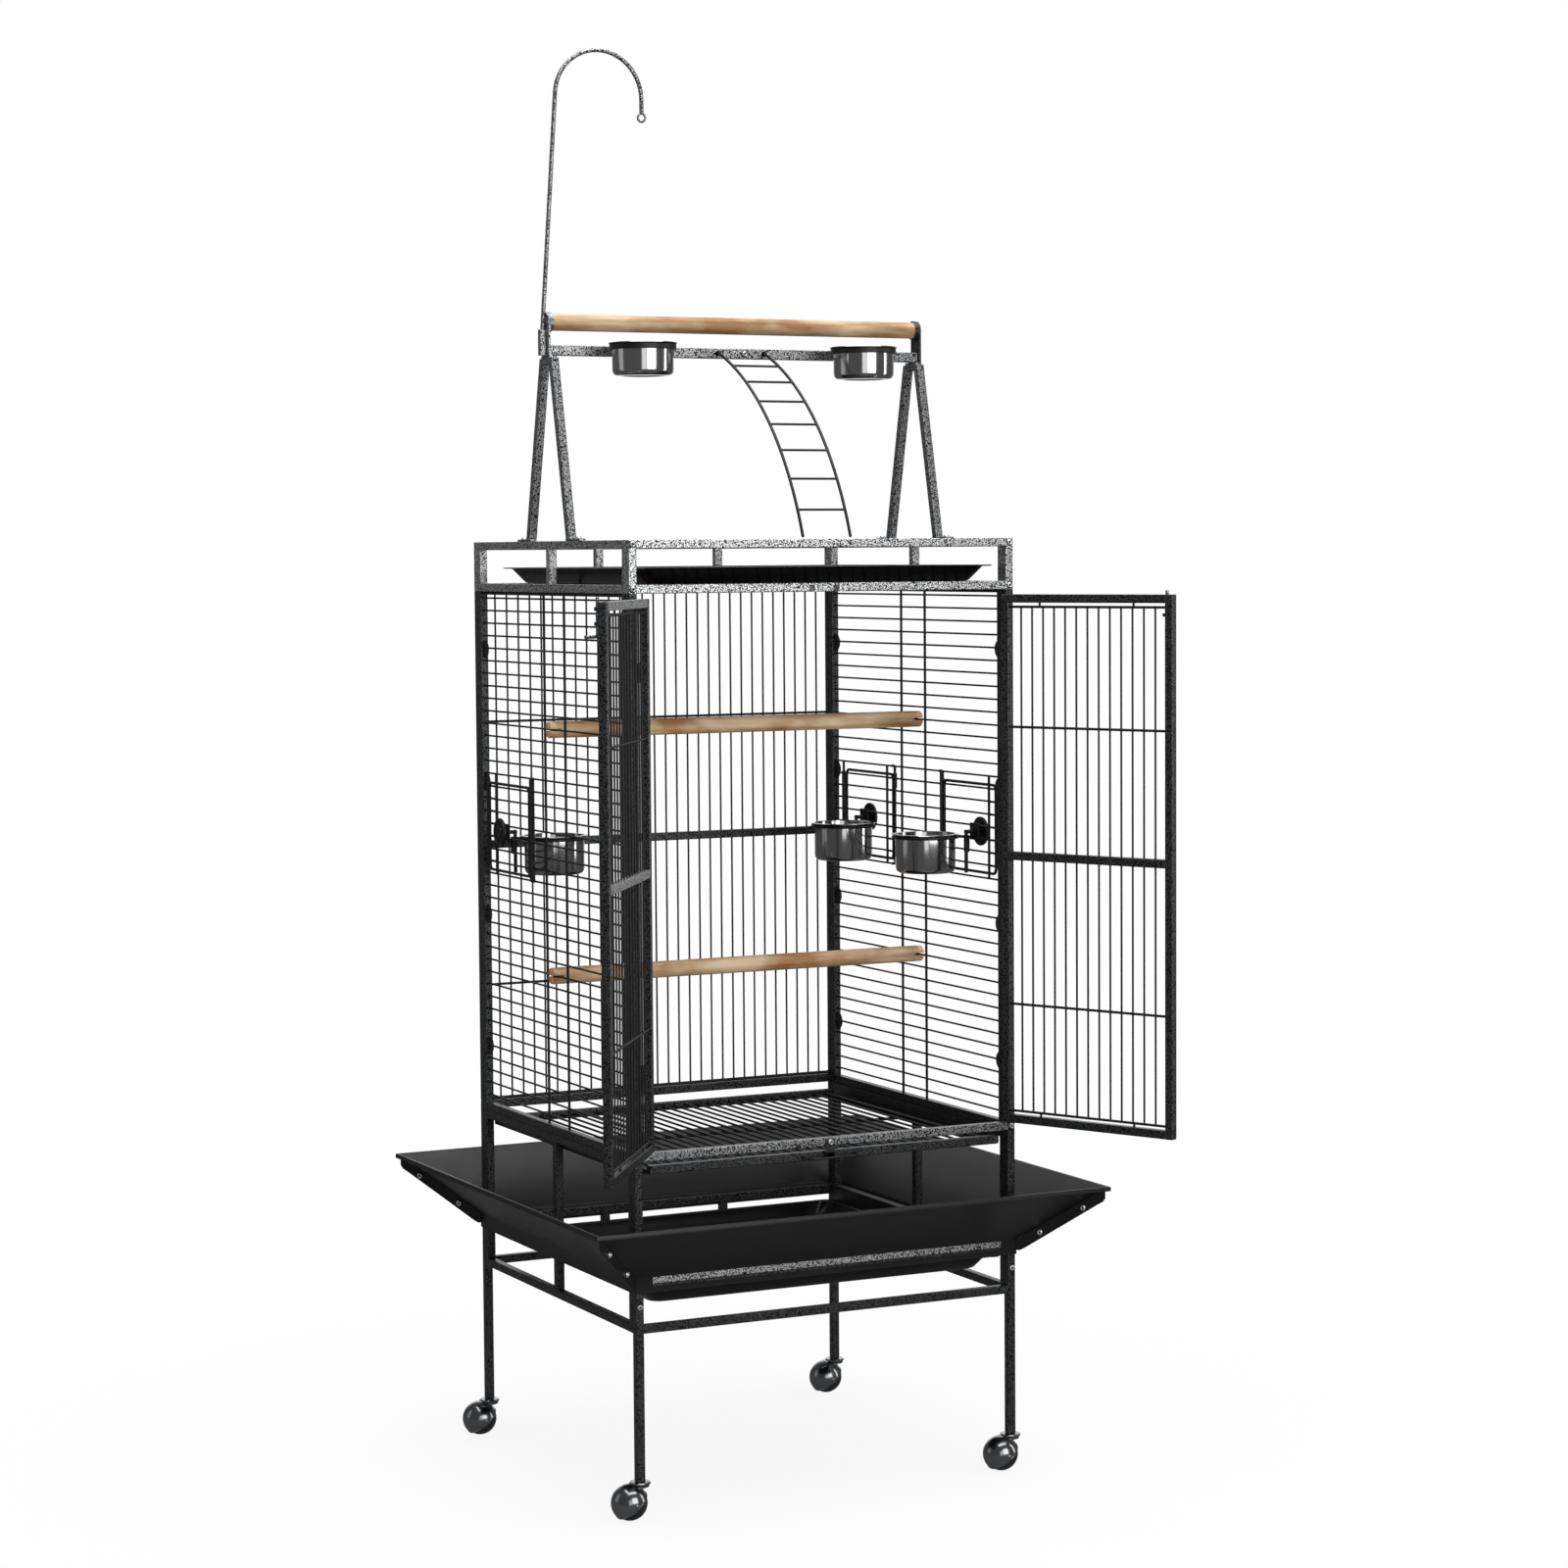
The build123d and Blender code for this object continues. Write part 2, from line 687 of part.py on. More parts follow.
def door(name, x_side, opened):
    """A front door: tube frame, upright wires, two hinge barrels and two latch guides."""
    y_out = x_side
    with BuildPart(door_plane(x_side, opened)) as leaf:
        post(stile_x, 0, door_low, door_high)
        post(door_span - tube / 2, 0, door_low, door_high)
        rails = (stile_x + tube / 2, door_span - tube)
        for z in (door_low, mid_rail_z - tube / 2, door_high - tube):
            block(rails, (-tube / 2, tube / 2), (z, z + tube))
        bar_low = door_low + tube + door_bar_inset
        bar_high = door_high - tube - door_bar_inset
        middle_x = sum(rails) / 2
        reach = rails[1] - rails[0] + tube / 2
        bar_y = -y_out * ((wire + cross_wire) / 2 - weld)
        bars = [bar_low, lower_cross_z, upper_cross_z, bar_high]
        rods("x", cross_wire, reach, [(middle_x, bar_y, z) for z in bars])
        for z in (bar_low, bar_high):
            rail_edge = door_low + tube - weld if z == bar_low else door_high - tube + weld
            for at in (0.2 * door_span, 0.8 * door_span):
                span("z", cross_wire - weld, (z, rail_edge), (at, bar_y))
        pin_at = (0, y_out * leaf_back)
        for z in barrel_z:
            barrel = (z + seat, z + seat + barrel_length)
            strap = (y_out * (tube / 2 - weld), y_out * leaf_back)
            block((door_post_gap, barrel_d), strap, barrel)
            span("z", barrel_d, barrel, pin_at)
            span("z", door_pin_d + 2 * run_fit, barrel, pin_at, Mode.SUBTRACT)
        guide_band = (y_out * (tube / 2 - weld), y_out * (latch_y + latch_d))
        for z in (lower_guide, upper_guide):
            block((latch_x - latch_d, door_span - tube / 2), guide_band, (z, z + guide_t))
            at = (latch_x, y_out * latch_y)
            span("z", latch_d + 2 * run_fit, (z, z + guide_t), at, Mode.SUBTRACT)
        pitch = (rails[1] - rails[0]) / (door_wires + 1)
        wires = [(rails[0] + (i + 1) * pitch, 0, (bar_low + bar_high) / 2) for i in range(door_wires)]
        rods("z", wire, bar_high - bar_low + cross_wire, wires)
    save(leaf, f"{name}_door")


def latch(name, x_side, opened):
    """A sliding door bolt: an upright pin with its lower end bent outwards as a grip."""
    y_out = x_side
    low = latch_top - latch_length
    with BuildPart(door_plane(x_side, opened)) as bolt:
        span("z", latch_d, (low, latch_top), (latch_x, y_out * latch_y))
        grip_end = y_out * (latch_y + latch_grip)
        span("y", latch_d - weld, (y_out * latch_y, grip_end), (latch_x, low + latch_d / 2))
        chamfer(bolt.edges().group_by(Axis.Z)[-1], latch_d / 8)
    save(bolt, f"{name}_latch_bolt")


for side_name, side_sign in sides.items():
    door_open = left_door_open if side_sign < 0 else right_door_open
    door(side_name, side_sign, door_open)
    latch(side_name, side_sign, door_open)


hinge_plane_x = corner_x + feeder_plane_out
lock_row = (feeder_first_row + feeder_last_row) // 2
lock_z = (row_z(lock_row) + row_z(lock_row + 1)) / 2
feeder_low = row_z(feeder_last_row + 1) + wire / 2 + feeder_bar_out
feeder_high = row_z(feeder_first_row) + feeder_bar_out


def feeder_door(name, x_side, f):
    """A small wire door on the side wall, hung on the wall's upright rod by two sleeves."""
    x = x_side * hinge_plane_x
    loop_in = f * (feeder_hinge_y + (sleeve_d + feeder_rod) / 2 - weld)
    loop_out = f * feeder_free_y
    with BuildPart() as leaf:
        with BuildLine(Plane.YZ.offset(x)) as loop:
            middle = (loop_in + loop_out) / 2
            y_low, y_high = sorted((loop_in, loop_out))
            FilletPolyline((y_high, feeder_low), (y_low, feeder_low), (y_low, feeder_high),
                           (y_high, feeder_high), radius=feeder_corner, close=True)
        loop_wire = loop.wires()[0]
        with BuildSketch(Plane(origin=loop_wire @ 0, z_dir=loop_wire % 0)):
            Circle(feeder_rod / 2)
        sweep(path=loop_wire)
        wire_x = x - x_side * (feeder_rod - wire)
        rows = [(wire_x, middle, row_z(row)) for row in range(feeder_first_row, feeder_last_row + 1)]
        rods("y", wire, abs(loop_out - loop_in), rows)
        sleeve_spans = [(feeder_low - feeder_rod / 2, feeder_low - feeder_rod / 2 + sleeve_length),
                        (feeder_high + feeder_rod / 2 - sleeve_length, feeder_high + feeder_rod / 2)]
        for ends_z in sleeve_spans:
            span("z", sleeve_d, ends_z, (x, f * feeder_hinge_y))
        plate_x = (wire_x - x_side * lock_plate_t / 2, wire_x + x_side * lock_plate_t / 2)
        plate_y = (f * lock_y - lock_plate / 2, f * lock_y + lock_plate / 2)
        block(plate_x, plate_y, (lock_z - lock_plate / 2, lock_z + lock_plate / 2))
        for ends_z in sleeve_spans:
            bore = feeder_rod + 2 * run_fit
            span("z", bore, ends_z, (x, f * feeder_hinge_y), Mode.SUBTRACT)
        hole = (plate_x[0] - x_side, plate_x[1] + x_side)
        span("x", lock_shaft_d + 2 * run_fit, hole, (f * lock_y, lock_z), Mode.SUBTRACT)
    save(leaf, f"{name}_feeder_door")


def feeder_lock(name, x_side, f):
    """The turn lock: an outside disc, a shaft through the door and an inside tongue."""
    inside = x_side * (corner_x - lock_inside)
    disc = (x_side * (half_w + lock_disc_out - lock_disc_t), x_side * (half_w + lock_disc_out))
    with BuildPart() as lock:
        span("x", lock_disc_d, disc, (f * lock_y, lock_z))
        fillet(lock.edges(), lock_disc_t / 4)
        span("x", lock_shaft_d, (inside - x_side * lock_tongue_w, disc[0]), (f * lock_y, lock_z))
        tongue_y = (f * lock_y - lock_tongue_w / 2, f * lock_y + lock_tongue_w / 2)
        block((inside - x_side * lock_tongue_w, inside), tongue_y, (lock_z - lock_tongue, lock_z))
    save(lock, f"{name}_feeder_lock")


def feeder_ring(name, x_side, f):
    """The wire ring that holds a feeder cup, with its arm and the plug clamped to the door."""
    centre = (x_side * (half_w - feeder_cup_in), f * feeder_cup_y)
    ring_z = feeder_cup_rim_z - cup_rim_t - seat - ring_wire / 2
    ring_r = cup_r + ring_clear + ring_wire / 2
    plug_x = x_side * (hinge_plane_x - (feeder_rod - wire) - wire / 2 - seat - plug_d / 2)
    plug_at = (plug_x, f * plug_y)
    towards = Vector(plug_x - centre[0], f * plug_y - centre[1], 0)
    start = Vector(*centre, ring_z) + towards.normalized() * ring_r
    finish = Vector(*plug_at, ring_z)
    with BuildPart() as ring:
        with Locations((*centre, ring_z)):
            Torus(ring_r, ring_wire / 2)
        span("z", plug_d, (ring_z - plug_h + ring_wire / 2, ring_z + ring_wire / 2), plug_at)
        with Locations(Plane(origin=(start + finish) * 0.5, z_dir=finish - start)):
            Cylinder(ring_wire / 2 - weld / 2, (finish - start).length)
    save(ring, f"{name}_feeder_ring")


def cup(name, centre, rim_z, depth):
    """A pressed steel cup: thin wall, rounded foot and a flat rim that hangs on its ring."""
    inner_r = cup_r - cup_wall
    with BuildPart() as bowl:
        with BuildSketch(Plane(origin=(*centre, rim_z), x_dir=(1, 0, 0), z_dir=(0, -1, 0))):
            with BuildLine():
                outside = FilletPolyline((0, -depth), (cup_r, -depth), (cup_r, -cup_rim_t),
                                         radius=cup_foot_fillet)
                Polyline(outside @ 1, (cup_rim_r, -cup_rim_t), (cup_rim_r, 0), (inner_r, 0))
                inside = FilletPolyline((inner_r, 0), (inner_r, -depth + cup_wall), (0, -depth + cup_wall),
                                        radius=cup_foot_fillet - cup_wall)
                Line(inside @ 1, outside @ 0)
            make_face()
        revolve(axis=Axis((*centre, rim_z), (0, 0, 1)))
    save(bowl, name)


feeders = {"left_rear": (-1, 1), "right_rear": (1, 1), "right_front": (1, -1)}
for feeder_name, (x_sign, y_sign) in feeders.items():
    feeder_door(feeder_name, x_sign, y_sign)
    feeder_lock(feeder_name, x_sign, y_sign)
    feeder_ring(feeder_name, x_sign, y_sign)
    cup_centre = (x_sign * (half_w - feeder_cup_in), y_sign * feeder_cup_y)
    cup(f"{feeder_name}_feeder_cup", cup_centre, feeder_cup_rim_z, feeder_cup_depth)


def inner_perch(name, row):
    """A wooden perch across the cage; each end is slit to sit on a side wire."""
    half = corner_x + perch_end_out
    slit_h = wire + 2 * seat
    with BuildPart() as stick:
        span("x", perch_d, (-half, half), (0, row_z(row)))
        for x_side in (-1, 1):
            slit = (x_side * (half - perch_slit), x_side * (half + 1))
            band = (row_z(row) - slit_h / 2, row_z(row) + slit_h / 2)
            block(slit, (-perch_d, perch_d), band, Mode.SUBTRACT)
    save(stick, name)


inner_perch("upper_perch", upper_perch_row)
inner_perch("lower_perch", lower_perch_row)


def a_frame(name, x_side):
    """A splayed stand for the play-top bar, with a drilled foot tab on each leg."""
    leg_w = tube / math.cos(math.atan2(foot_y - apex_half, play_bar_z - top_z))
    with BuildPart() as stand:
        with BuildSketch(Plane.YZ.offset(x_side * corner_x)):
            for y_side in (-1, 1):
                with BuildLine():
                    Polyline((y_side * foot_y - leg_w / 2, top_z), (y_side * foot_y + leg_w / 2, top_z),
                             (y_side * apex_half + leg_w / 2, play_bar_z - apex_h / 2),
                             (y_side * apex_half - leg_w / 2, play_bar_z - apex_h / 2), close=True)
                make_face()
                with Locations((y_side * (foot_y + foot_tab / 2), top_z + foot_tab_t / 2)):
                    Rectangle(foot_tab, foot_tab_t)
            with Locations((0, play_bar_z - apex_h / 2)):
                Rectangle(2 * apex_half - leg_w / 2, apex_h)
        extrude(amount=tube / 2, both=True)
        for y_side in (-1, 1):
            at = (x_side * corner_x, y_side * (foot_y + foot_tab - foot_screw_in))
            span("z", bolt_hole_d, (top_z, top_z + foot_tab_t), at, Mode.SUBTRACT)
    save(stand, f"{name}_a_frame")


for side_name, side_sign in sides.items():
    a_frame(side_name, side_sign)

bar_middle_z = play_bar_z + play_bar / 2
splice = play_bar - 2 * splice_wall


def play_ring(x):
    """The band ring that holds a play-top cup, on a short arm in front of the bar."""
    ring_inner = cup_r + ring_clear
    ring_top = play_bar_z + play_bar + seat
    band = (ring_top - play_ring_h, ring_top)
    block((x - play_ring_h, x + play_ring_h), (play_cup_y + ring_inner + 1, -play_bar / 2 + weld), band)
    span("z", 2 * (ring_inner + play_ring_t), band, (x, play_cup_y))
    span("z", 2 * ring_inner, band, (x, play_cup_y), Mode.SUBTRACT)


with BuildPart() as left_bar:
    bar_y = (-play_bar / 2, play_bar / 2)
    bar_z = (play_bar_z, play_bar_z + play_bar)
    block((-play_bar_half, splice_x), bar_y, bar_z)
    tongue = splice / 2 - splice_gap
    tongue_z = (bar_middle_z - tongue, bar_middle_z + tongue)
    block((splice_x, splice_x + splice_length), (-tongue, tongue), tongue_z)
    span("y", bolt_hole_d, (-tongue, tongue), (splice_bolt_x, bar_middle_z), Mode.SUBTRACT)
    for hole_x in (ladder_x - ladder_half, ladder_x + ladder_half):
        hole_y = (-play_bar / 2, -play_bar / 2 + ladder_hole_depth)
        span("y", ladder_hole_d, hole_y, (hole_x, bar_middle_z), Mode.SUBTRACT)
    play_ring(-play_cup_x)
save(left_bar, "left_play_bar")

with BuildPart() as right_bar:
    block((splice_x, play_bar_half), bar_y, bar_z)
    pocket_z = (bar_middle_z - splice / 2, bar_middle_z + splice / 2)
    block((splice_x, splice_x + splice_length + 1), (-splice / 2, splice / 2), pocket_z, Mode.SUBTRACT)
    span("y", bolt_hole_d, (-play_bar / 2, splice / 2), (splice_bolt_x, bar_middle_z), Mode.SUBTRACT)
    for hole_x in (ladder_x - ladder_half, ladder_x + ladder_half):
        span("y", ladder_hole_d, hole_y, (hole_x, bar_middle_z), Mode.SUBTRACT)
    play_ring(play_cup_x)
save(right_bar, "right_play_bar")

for cup_name, cup_x in (("left_play_cup", -play_cup_x), ("right_play_cup", play_cup_x)):
    cup_rim = play_bar_z + play_bar + 2 * seat + cup_rim_t
    cup(cup_name, (cup_x, play_cup_y), cup_rim, play_cup_depth)


def perch_bracket(x_side):
    """The round-topped end plate of the play-top bar, with a collar for the perch."""
    plate = (x_side * play_bar_half, x_side * (play_bar_half + bracket_t))
    block(plate, (-bracket_w / 2, bracket_w / 2), (play_bar_z, play_perch_z))
    span("x", bracket_w, plate, (0, play_perch_z))
    collar = (x_side * play_bar_half, x_side * (play_bar_half - bracket_ring_l))
    bore_d = perch_d + 2 * seat
    span("x", bore_d + 2 * bracket_ring_t, collar, (0, play_perch_z))
    span("x", bore_d, collar, (0, play_perch_z), Mode.SUBTRACT)
    slot_z = (play_bar_z + play_bar + play_perch_z - perch_d / 2) / 2
    slot_band = (slot_z - bracket_slot_h / 2, slot_z + bracket_slot_h / 2)
    block(plate, (-bracket_slot_w / 2, bracket_slot_w / 2), slot_band, Mode.SUBTRACT)


with BuildPart() as bracket:
    perch_bracket(1)
save(bracket, "right_perch_bracket")

# Left bracket with the toy hook: a leaning rod, a tangent bend and a drilled eye
lean = math.radians(hook_lean)
socket_x = -play_bar_half - bracket_t - hook_socket / 2
hook_foot = (socket_x, play_bar_z + hook_socket_h - 2 * hook_rod)
hook_head = (hook_foot[0] + hook_rise * math.sin(lean), hook_foot[1] + hook_rise * math.cos(lean))
with BuildPart() as toy_hook:
    perch_bracket(-1)
    socket_band = (socket_x - hook_socket / 2, -play_bar_half - bracket_t + weld)
    block(socket_band, (-hook_socket / 2, hook_socket / 2), (play_bar_z, play_bar_z + hook_socket_h))
    with BuildLine(Plane.XZ) as hook_path:
        rise_line = Line(hook_foot, hook_head)
        bend = JernArc(rise_line @ 1, rise_line % 1, hook_arc_r, -(180 - hook_lean))
        Line(bend @ 1, bend @ 1 + Vector(0, 0, -hook_drop))
    with BuildSketch(Plane(origin=hook_path.line @ 0, z_dir=hook_path.line % 0)):
        Circle(hook_rod / 2)
    sweep(path=hook_path.line)
    eye = hook_path.line @ 1
    eye_at = (eye.X, eye.Z - hook_eye_d / 2 + hook_rod / 4)
    span("y", hook_eye_d, (-hook_eye_t / 2, hook_eye_t / 2), eye_at)
    span("y", hook_eye_hole, (-hook_rod, hook_rod), eye_at, Mode.SUBTRACT)
save(toy_hook, "toy_hook")

with BuildPart() as play_perch:
    span("x", perch_d, (-play_bar_half + seat, play_bar_half - seat), (0, play_perch_z))
save(play_perch, "play_perch")

# Ladder from the play-top bar to the front top rail
ladder_top = (-play_bar / 2 - ladder_lead, bar_middle_z)
ladder_foot = (-corner_y, top_z + seat + ladder_wire / 2)
with BuildPart() as ladder:
    for side_x in (ladder_x - ladder_half, ladder_x + ladder_half):
        with BuildLine(Plane.YZ.offset(side_x)) as ladder_side:
            RadiusArc(ladder_top, ladder_foot, -ladder_bow_r)
        with BuildSketch(Plane(origin=ladder_side.line @ 0, z_dir=ladder_side.line % 0)):
            Circle(ladder_wire / 2)
        sweep(path=ladder_side.line)
        with Locations(ladder_side.line @ 0, ladder_side.line @ 1):
            Sphere(ladder_wire / 2)
        pin = (ladder_top[0], -play_bar / 2 + ladder_pin)
        span("y", ladder_wire, pin, (side_x, bar_middle_z))
    arc = ladder_side.edges()[0]
    rung_places = [arc @ (ladder_pitch * (i + 1) / arc.length) for i in range(ladder_rungs)]
    rods("x", ladder_rung, 2 * ladder_half, [(ladder_x, at.Y, at.Z) for at in rung_places])
save(ladder, "ladder")


def caster(name, x_side, y_side):
    """A hooded ball caster: collar, stem, hood and axle in one piece, and its ball."""
    stem = (x_side * corner_x, y_side * corner_y)
    centre = Vector(stem[0] - trail, stem[1], ball_r)
    hood_inner = ball_r + ball_gap
    hood_outer = hood_inner + hood_wall
    tilt = math.radians(hood_tilt)
    normal = Vector(-math.sin(tilt), 0, math.cos(tilt))
    collar_top = leg_bottom - seat
    with BuildPart() as hood:
        with Locations(centre):
            Sphere(hood_outer)
        split(bisect_by=Plane(origin=centre - normal * hood_drop, z_dir=normal), keep=Keep.TOP)
        span("z", collar_d, (collar_top - collar_h, collar_top), stem)
        fillet(hood.edges().group_by(Axis.Z)[-1], collar_h / 5)
        with Locations(centre):
            Sphere(hood_inner, mode=Mode.SUBTRACT)
        span("z", stem_d, (collar_top - weld, leg_bottom + stem_length), stem)
        axle = hood_inner + hood_wall / 2
        span("y", axle_d, (centre.Y - axle, centre.Y + axle), (centre.X, centre.Z))
    save(hood, f"{name}_caster_hood")
    with BuildPart() as ball:
        with Locations(centre):
            Sphere(ball_r)
        through = (centre.Y - ball_r, centre.Y + ball_r)
        span("y", axle_d + 2 * run_fit, through, (centre.X, centre.Z), Mode.SUBTRACT)
    save(ball, f"{name}_caster_ball")


for end_name, end_sign in ends.items():
    for side_name, side_sign in sides.items():
        caster(f"{end_name}_{side_name}", side_sign, end_sign)


def frame_bolt(x, y_side, z):
    """A round-headed bolt along Y through a corner."""
    outer = y_side * half_d
    span("y", bolt_head_d, (outer, outer + y_side * bolt_head_h), (x, z))
    span("y", bolt_d, (outer, outer - y_side * bolt_depth), (x, z))


# All fasteners of the fixed frame
with BuildPart() as fasteners:
    for end_sign in ends.values():
        for bolt_x in (-corner_x, corner_x):
            for bolt_z in (stand_bolt_z, panel_bolt_z, *top_bolt_z):
                frame_bolt(bolt_x, end_sign, bolt_z)
    for side_sign in sides.values():
        for end_sign in ends.values():
            screw_at = (side_sign * corner_x, end_sign * (foot_y + foot_tab - foot_screw_in))
            tab_top = top_z + foot_tab_t
            span("z", bolt_head_d, (tab_top, tab_top + bolt_head_h), screw_at)
            span("z", bolt_d, (top_z - tube / 2, tab_top), screw_at)
            for reach, bolt_z in skirt_bolt_places():
                place = Vector(side_sign * (half_w + reach), end_sign * (half_d + reach), bolt_z)
                with Locations(Plane(origin=place, z_dir=(side_sign, -end_sign, 0))):
                    Cylinder(skirt_bolt_d / 2, 3 * bolt_head_h)
                    grip = skirt_sheet + skirt_gap / 2
                    with Locations((0, 0, grip + bolt_head_h / 2), (0, 0, -grip - bolt_head_h / 2)):
                        Cylinder(bolt_head_d / 2, bolt_head_h)
    span("y", bolt_head_d, (-play_bar / 2 - bolt_head_h, -play_bar / 2), (splice_bolt_x, bar_middle_z))
    span("y", bolt_d, (-play_bar / 2, splice / 2 - 1), (splice_bolt_x, bar_middle_z))
save(fasteners, "frame_bolts")
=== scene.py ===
# %% [markdown]
# # A play-top bird cage on a rolling stand
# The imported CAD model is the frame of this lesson: it says where each piece is and which body it
# moves with. Each step below builds the visible surface of some of those pieces, in millimetres,
# gives it a procedural finish and hangs it on its body, so that doors, trays and casters still
# move. The CAD solids could be shown as they are, but their edges are sharp and their wires plain.

# %% Load the frame
import math

import bmesh
import bpy
import numpy as np
from mathutils import Matrix, Vector
from mathutils.geometry import tessellate_polygon


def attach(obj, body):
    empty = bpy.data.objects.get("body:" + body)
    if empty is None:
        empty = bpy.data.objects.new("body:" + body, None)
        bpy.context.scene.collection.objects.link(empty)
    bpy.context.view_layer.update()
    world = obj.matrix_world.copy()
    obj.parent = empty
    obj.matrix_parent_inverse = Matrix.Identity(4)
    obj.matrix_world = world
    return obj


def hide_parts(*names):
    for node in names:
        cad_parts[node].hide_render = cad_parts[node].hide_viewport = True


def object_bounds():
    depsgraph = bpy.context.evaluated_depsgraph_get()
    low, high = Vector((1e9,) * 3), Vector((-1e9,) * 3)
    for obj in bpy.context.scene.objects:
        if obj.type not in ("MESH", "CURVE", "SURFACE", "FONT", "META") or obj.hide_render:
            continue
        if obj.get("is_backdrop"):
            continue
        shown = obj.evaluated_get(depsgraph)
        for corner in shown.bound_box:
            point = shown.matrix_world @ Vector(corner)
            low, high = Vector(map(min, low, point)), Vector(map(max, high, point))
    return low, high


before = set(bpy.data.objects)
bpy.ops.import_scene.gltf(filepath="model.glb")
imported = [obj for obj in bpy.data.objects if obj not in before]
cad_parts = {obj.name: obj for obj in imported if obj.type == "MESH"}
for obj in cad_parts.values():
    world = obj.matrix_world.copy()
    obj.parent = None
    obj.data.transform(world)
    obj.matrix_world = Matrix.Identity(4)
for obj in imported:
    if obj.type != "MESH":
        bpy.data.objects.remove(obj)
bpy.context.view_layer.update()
scene = bpy.context.scene

# %% [markdown]
# ## Sizes
# These are the sizes of the CAD source, so that the surfaces lie on the solids. They could be
# measured from the CAD boxes each time, but named numbers show which piece each belongs to.
# Heights are above the floor, X runs to the right as seen from the front, and the front faces
# minus Y.

# %% Sizes
HALF_W, HALF_D, TUBE, WIRE = 311.0, 295.5, 12.5, 3.0
CORNER_X, CORNER_Y = HALF_W - TUBE / 2, HALF_D - TUBE / 2
INNER_X, INNER_Y = HALF_W - TUBE, HALF_D - TUBE
SIDE_Y = HALF_D - 1.5 * TUBE
THIRD_X = HALF_W / 3
LEG_Z, STAND_LOW, STAND_HIGH, LEG_TOP = 55.0, 268.0, 333.0, 437.5
BASE_RAIL, FLOOR_Z, ROOF_Z, TOP_Z = 502.0, 527.0, 1321.5, 1397.5
PANEL_Z = FLOOR_Z - TUBE
ROW_PITCH, ROWS, FIRST_ROW = 19.3, 41, ROOF_Z - 10.0
MID_RAIL, CROSS_HIGH, CROSS_LOW = 928.0, 1119.0, 708.0
SIDES = {"left": -1, "right": 1}
ENDS = {"front": -1, "back": 1}
FEEDERS = {"left_rear": (-1, 1), "right_rear": (1, 1), "right_front": (1, -1)}


def row_z(row):
    """Height of a side wire: the top one less a whole number of pitches."""
    return FIRST_ROW - row * ROW_PITCH


print("cage", 2 * HALF_W, "x", 2 * HALF_D, "mm, tubes", TUBE, "mm, wires", WIRE, "mm")

# %% [markdown]
# ## A shape made of patches
# A piece could be modelled by hand with extrusions and bevels. Here it is a set of patches: a
# patch is a grid of points worked out with numpy, and neighbouring points make a face. The grid
# is a function of two parameters, so the piece is made again at any size without handwork.

# %% Shape
class Shape:
    """Points in millimetres, the faces between them and each face's finish as a number."""

    def __init__(self):
        self.points, self.faces, self.marks, self.count = [], [], [], 0

    def take(self, points, faces, marks):
        """Adds points and rows of point numbers, each raised by the count of points before."""
        self.points.append(points)
        self.faces += (faces + self.count).tolist()
        self.marks += np.broadcast_to(marks, len(faces)).tolist()
        self.count += len(points)

    def patch(self, grid, wrap_u=False, wrap_v=False, mark=0):
        """A face between each four neighbours of a (u, v, 3) grid; mark is one finish or one a row."""
        grid = np.asarray(grid, float)
        nu, nv = grid.shape[:2]
        u, v = np.meshgrid(np.arange(nu - (not wrap_u)), np.arange(nv - (not wrap_v)), indexing="ij")
        u2, v2 = (u + 1) % nu, (v + 1) % nv
        quads = np.stack([u * nv + v, u2 * nv + v, u2 * nv + v2, u * nv + v2], -1).reshape(-1, 4)
        marks = np.broadcast_to(np.reshape(mark, (-1, 1)), u.shape).ravel()
        self.take(grid.reshape(-1, 3), quads, marks)

    def cap(self, ring, mark=0):
        """One flat face round a closed ring of points."""
        self.take(np.asarray(ring, float), np.arange(len(ring))[None], mark)

    def solid(self, rings, mark=0):
        """A band through a row of closed rings, with a cap at each end."""
        self.patch(rings, wrap_v=True, mark=mark)
        self.cap(rings[0][::-1], mark)
        self.cap(rings[-1], mark)


trial = Shape()
trial.solid(np.zeros((3, 4, 3)))
print("a solid of three rings of four points has", len(trial.faces), "faces")

# %% [markdown]
# ## From points to a piece
# A piece of the real cage is welded up, coated and hung on what carries it. In Blender it becomes
# a mesh whose patches are merged where they meet, with its faces turned outwards, crisp folds and
# a body to move with. An Edge Split modifier would keep the folds crisp too, but it opens the
# mesh; edges that are only marked sharp, by their angle, leave it closed.

# %% Piece
FOLD, SAME_POINT = math.radians(38), 1e-6


def hang(shape, name, finishes, body, node=None, turn=None):
    """Points over a thousand as metres, doubles merged, faces turned outwards, on its body."""
    points = np.concatenate(shape.points)
    if turn:
        points = turn(points)
    data = bpy.data.meshes.new(name)
    data.from_pydata((points / 1000).tolist(), [], shape.faces)
    data.polygons.foreach_set("material_index", shape.marks)
    data.polygons.foreach_set("use_smooth", [True] * len(shape.faces))
    for one in finishes:
        data.materials.append(one)
    data.validate()
    work = bmesh.new()
    work.from_mesh(data)
    bmesh.ops.remove_doubles(work, verts=work.verts, dist=SAME_POINT)
    bmesh.ops.recalc_face_normals(work, faces=work.faces)
    work.to_mesh(data)
    work.free()
    data.set_sharp_from_angle(angle=FOLD)
    piece = bpy.data.objects.new(name, data)
    scene.collection.objects.link(piece)
    if node:
        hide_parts(node)
    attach(piece, body)
    print(f"{name}: {len(points)} points, {len(shape.faces)} faces, on {body}")


print("edges are crisp where faces meet at over", round(math.degrees(FOLD)), "degrees")

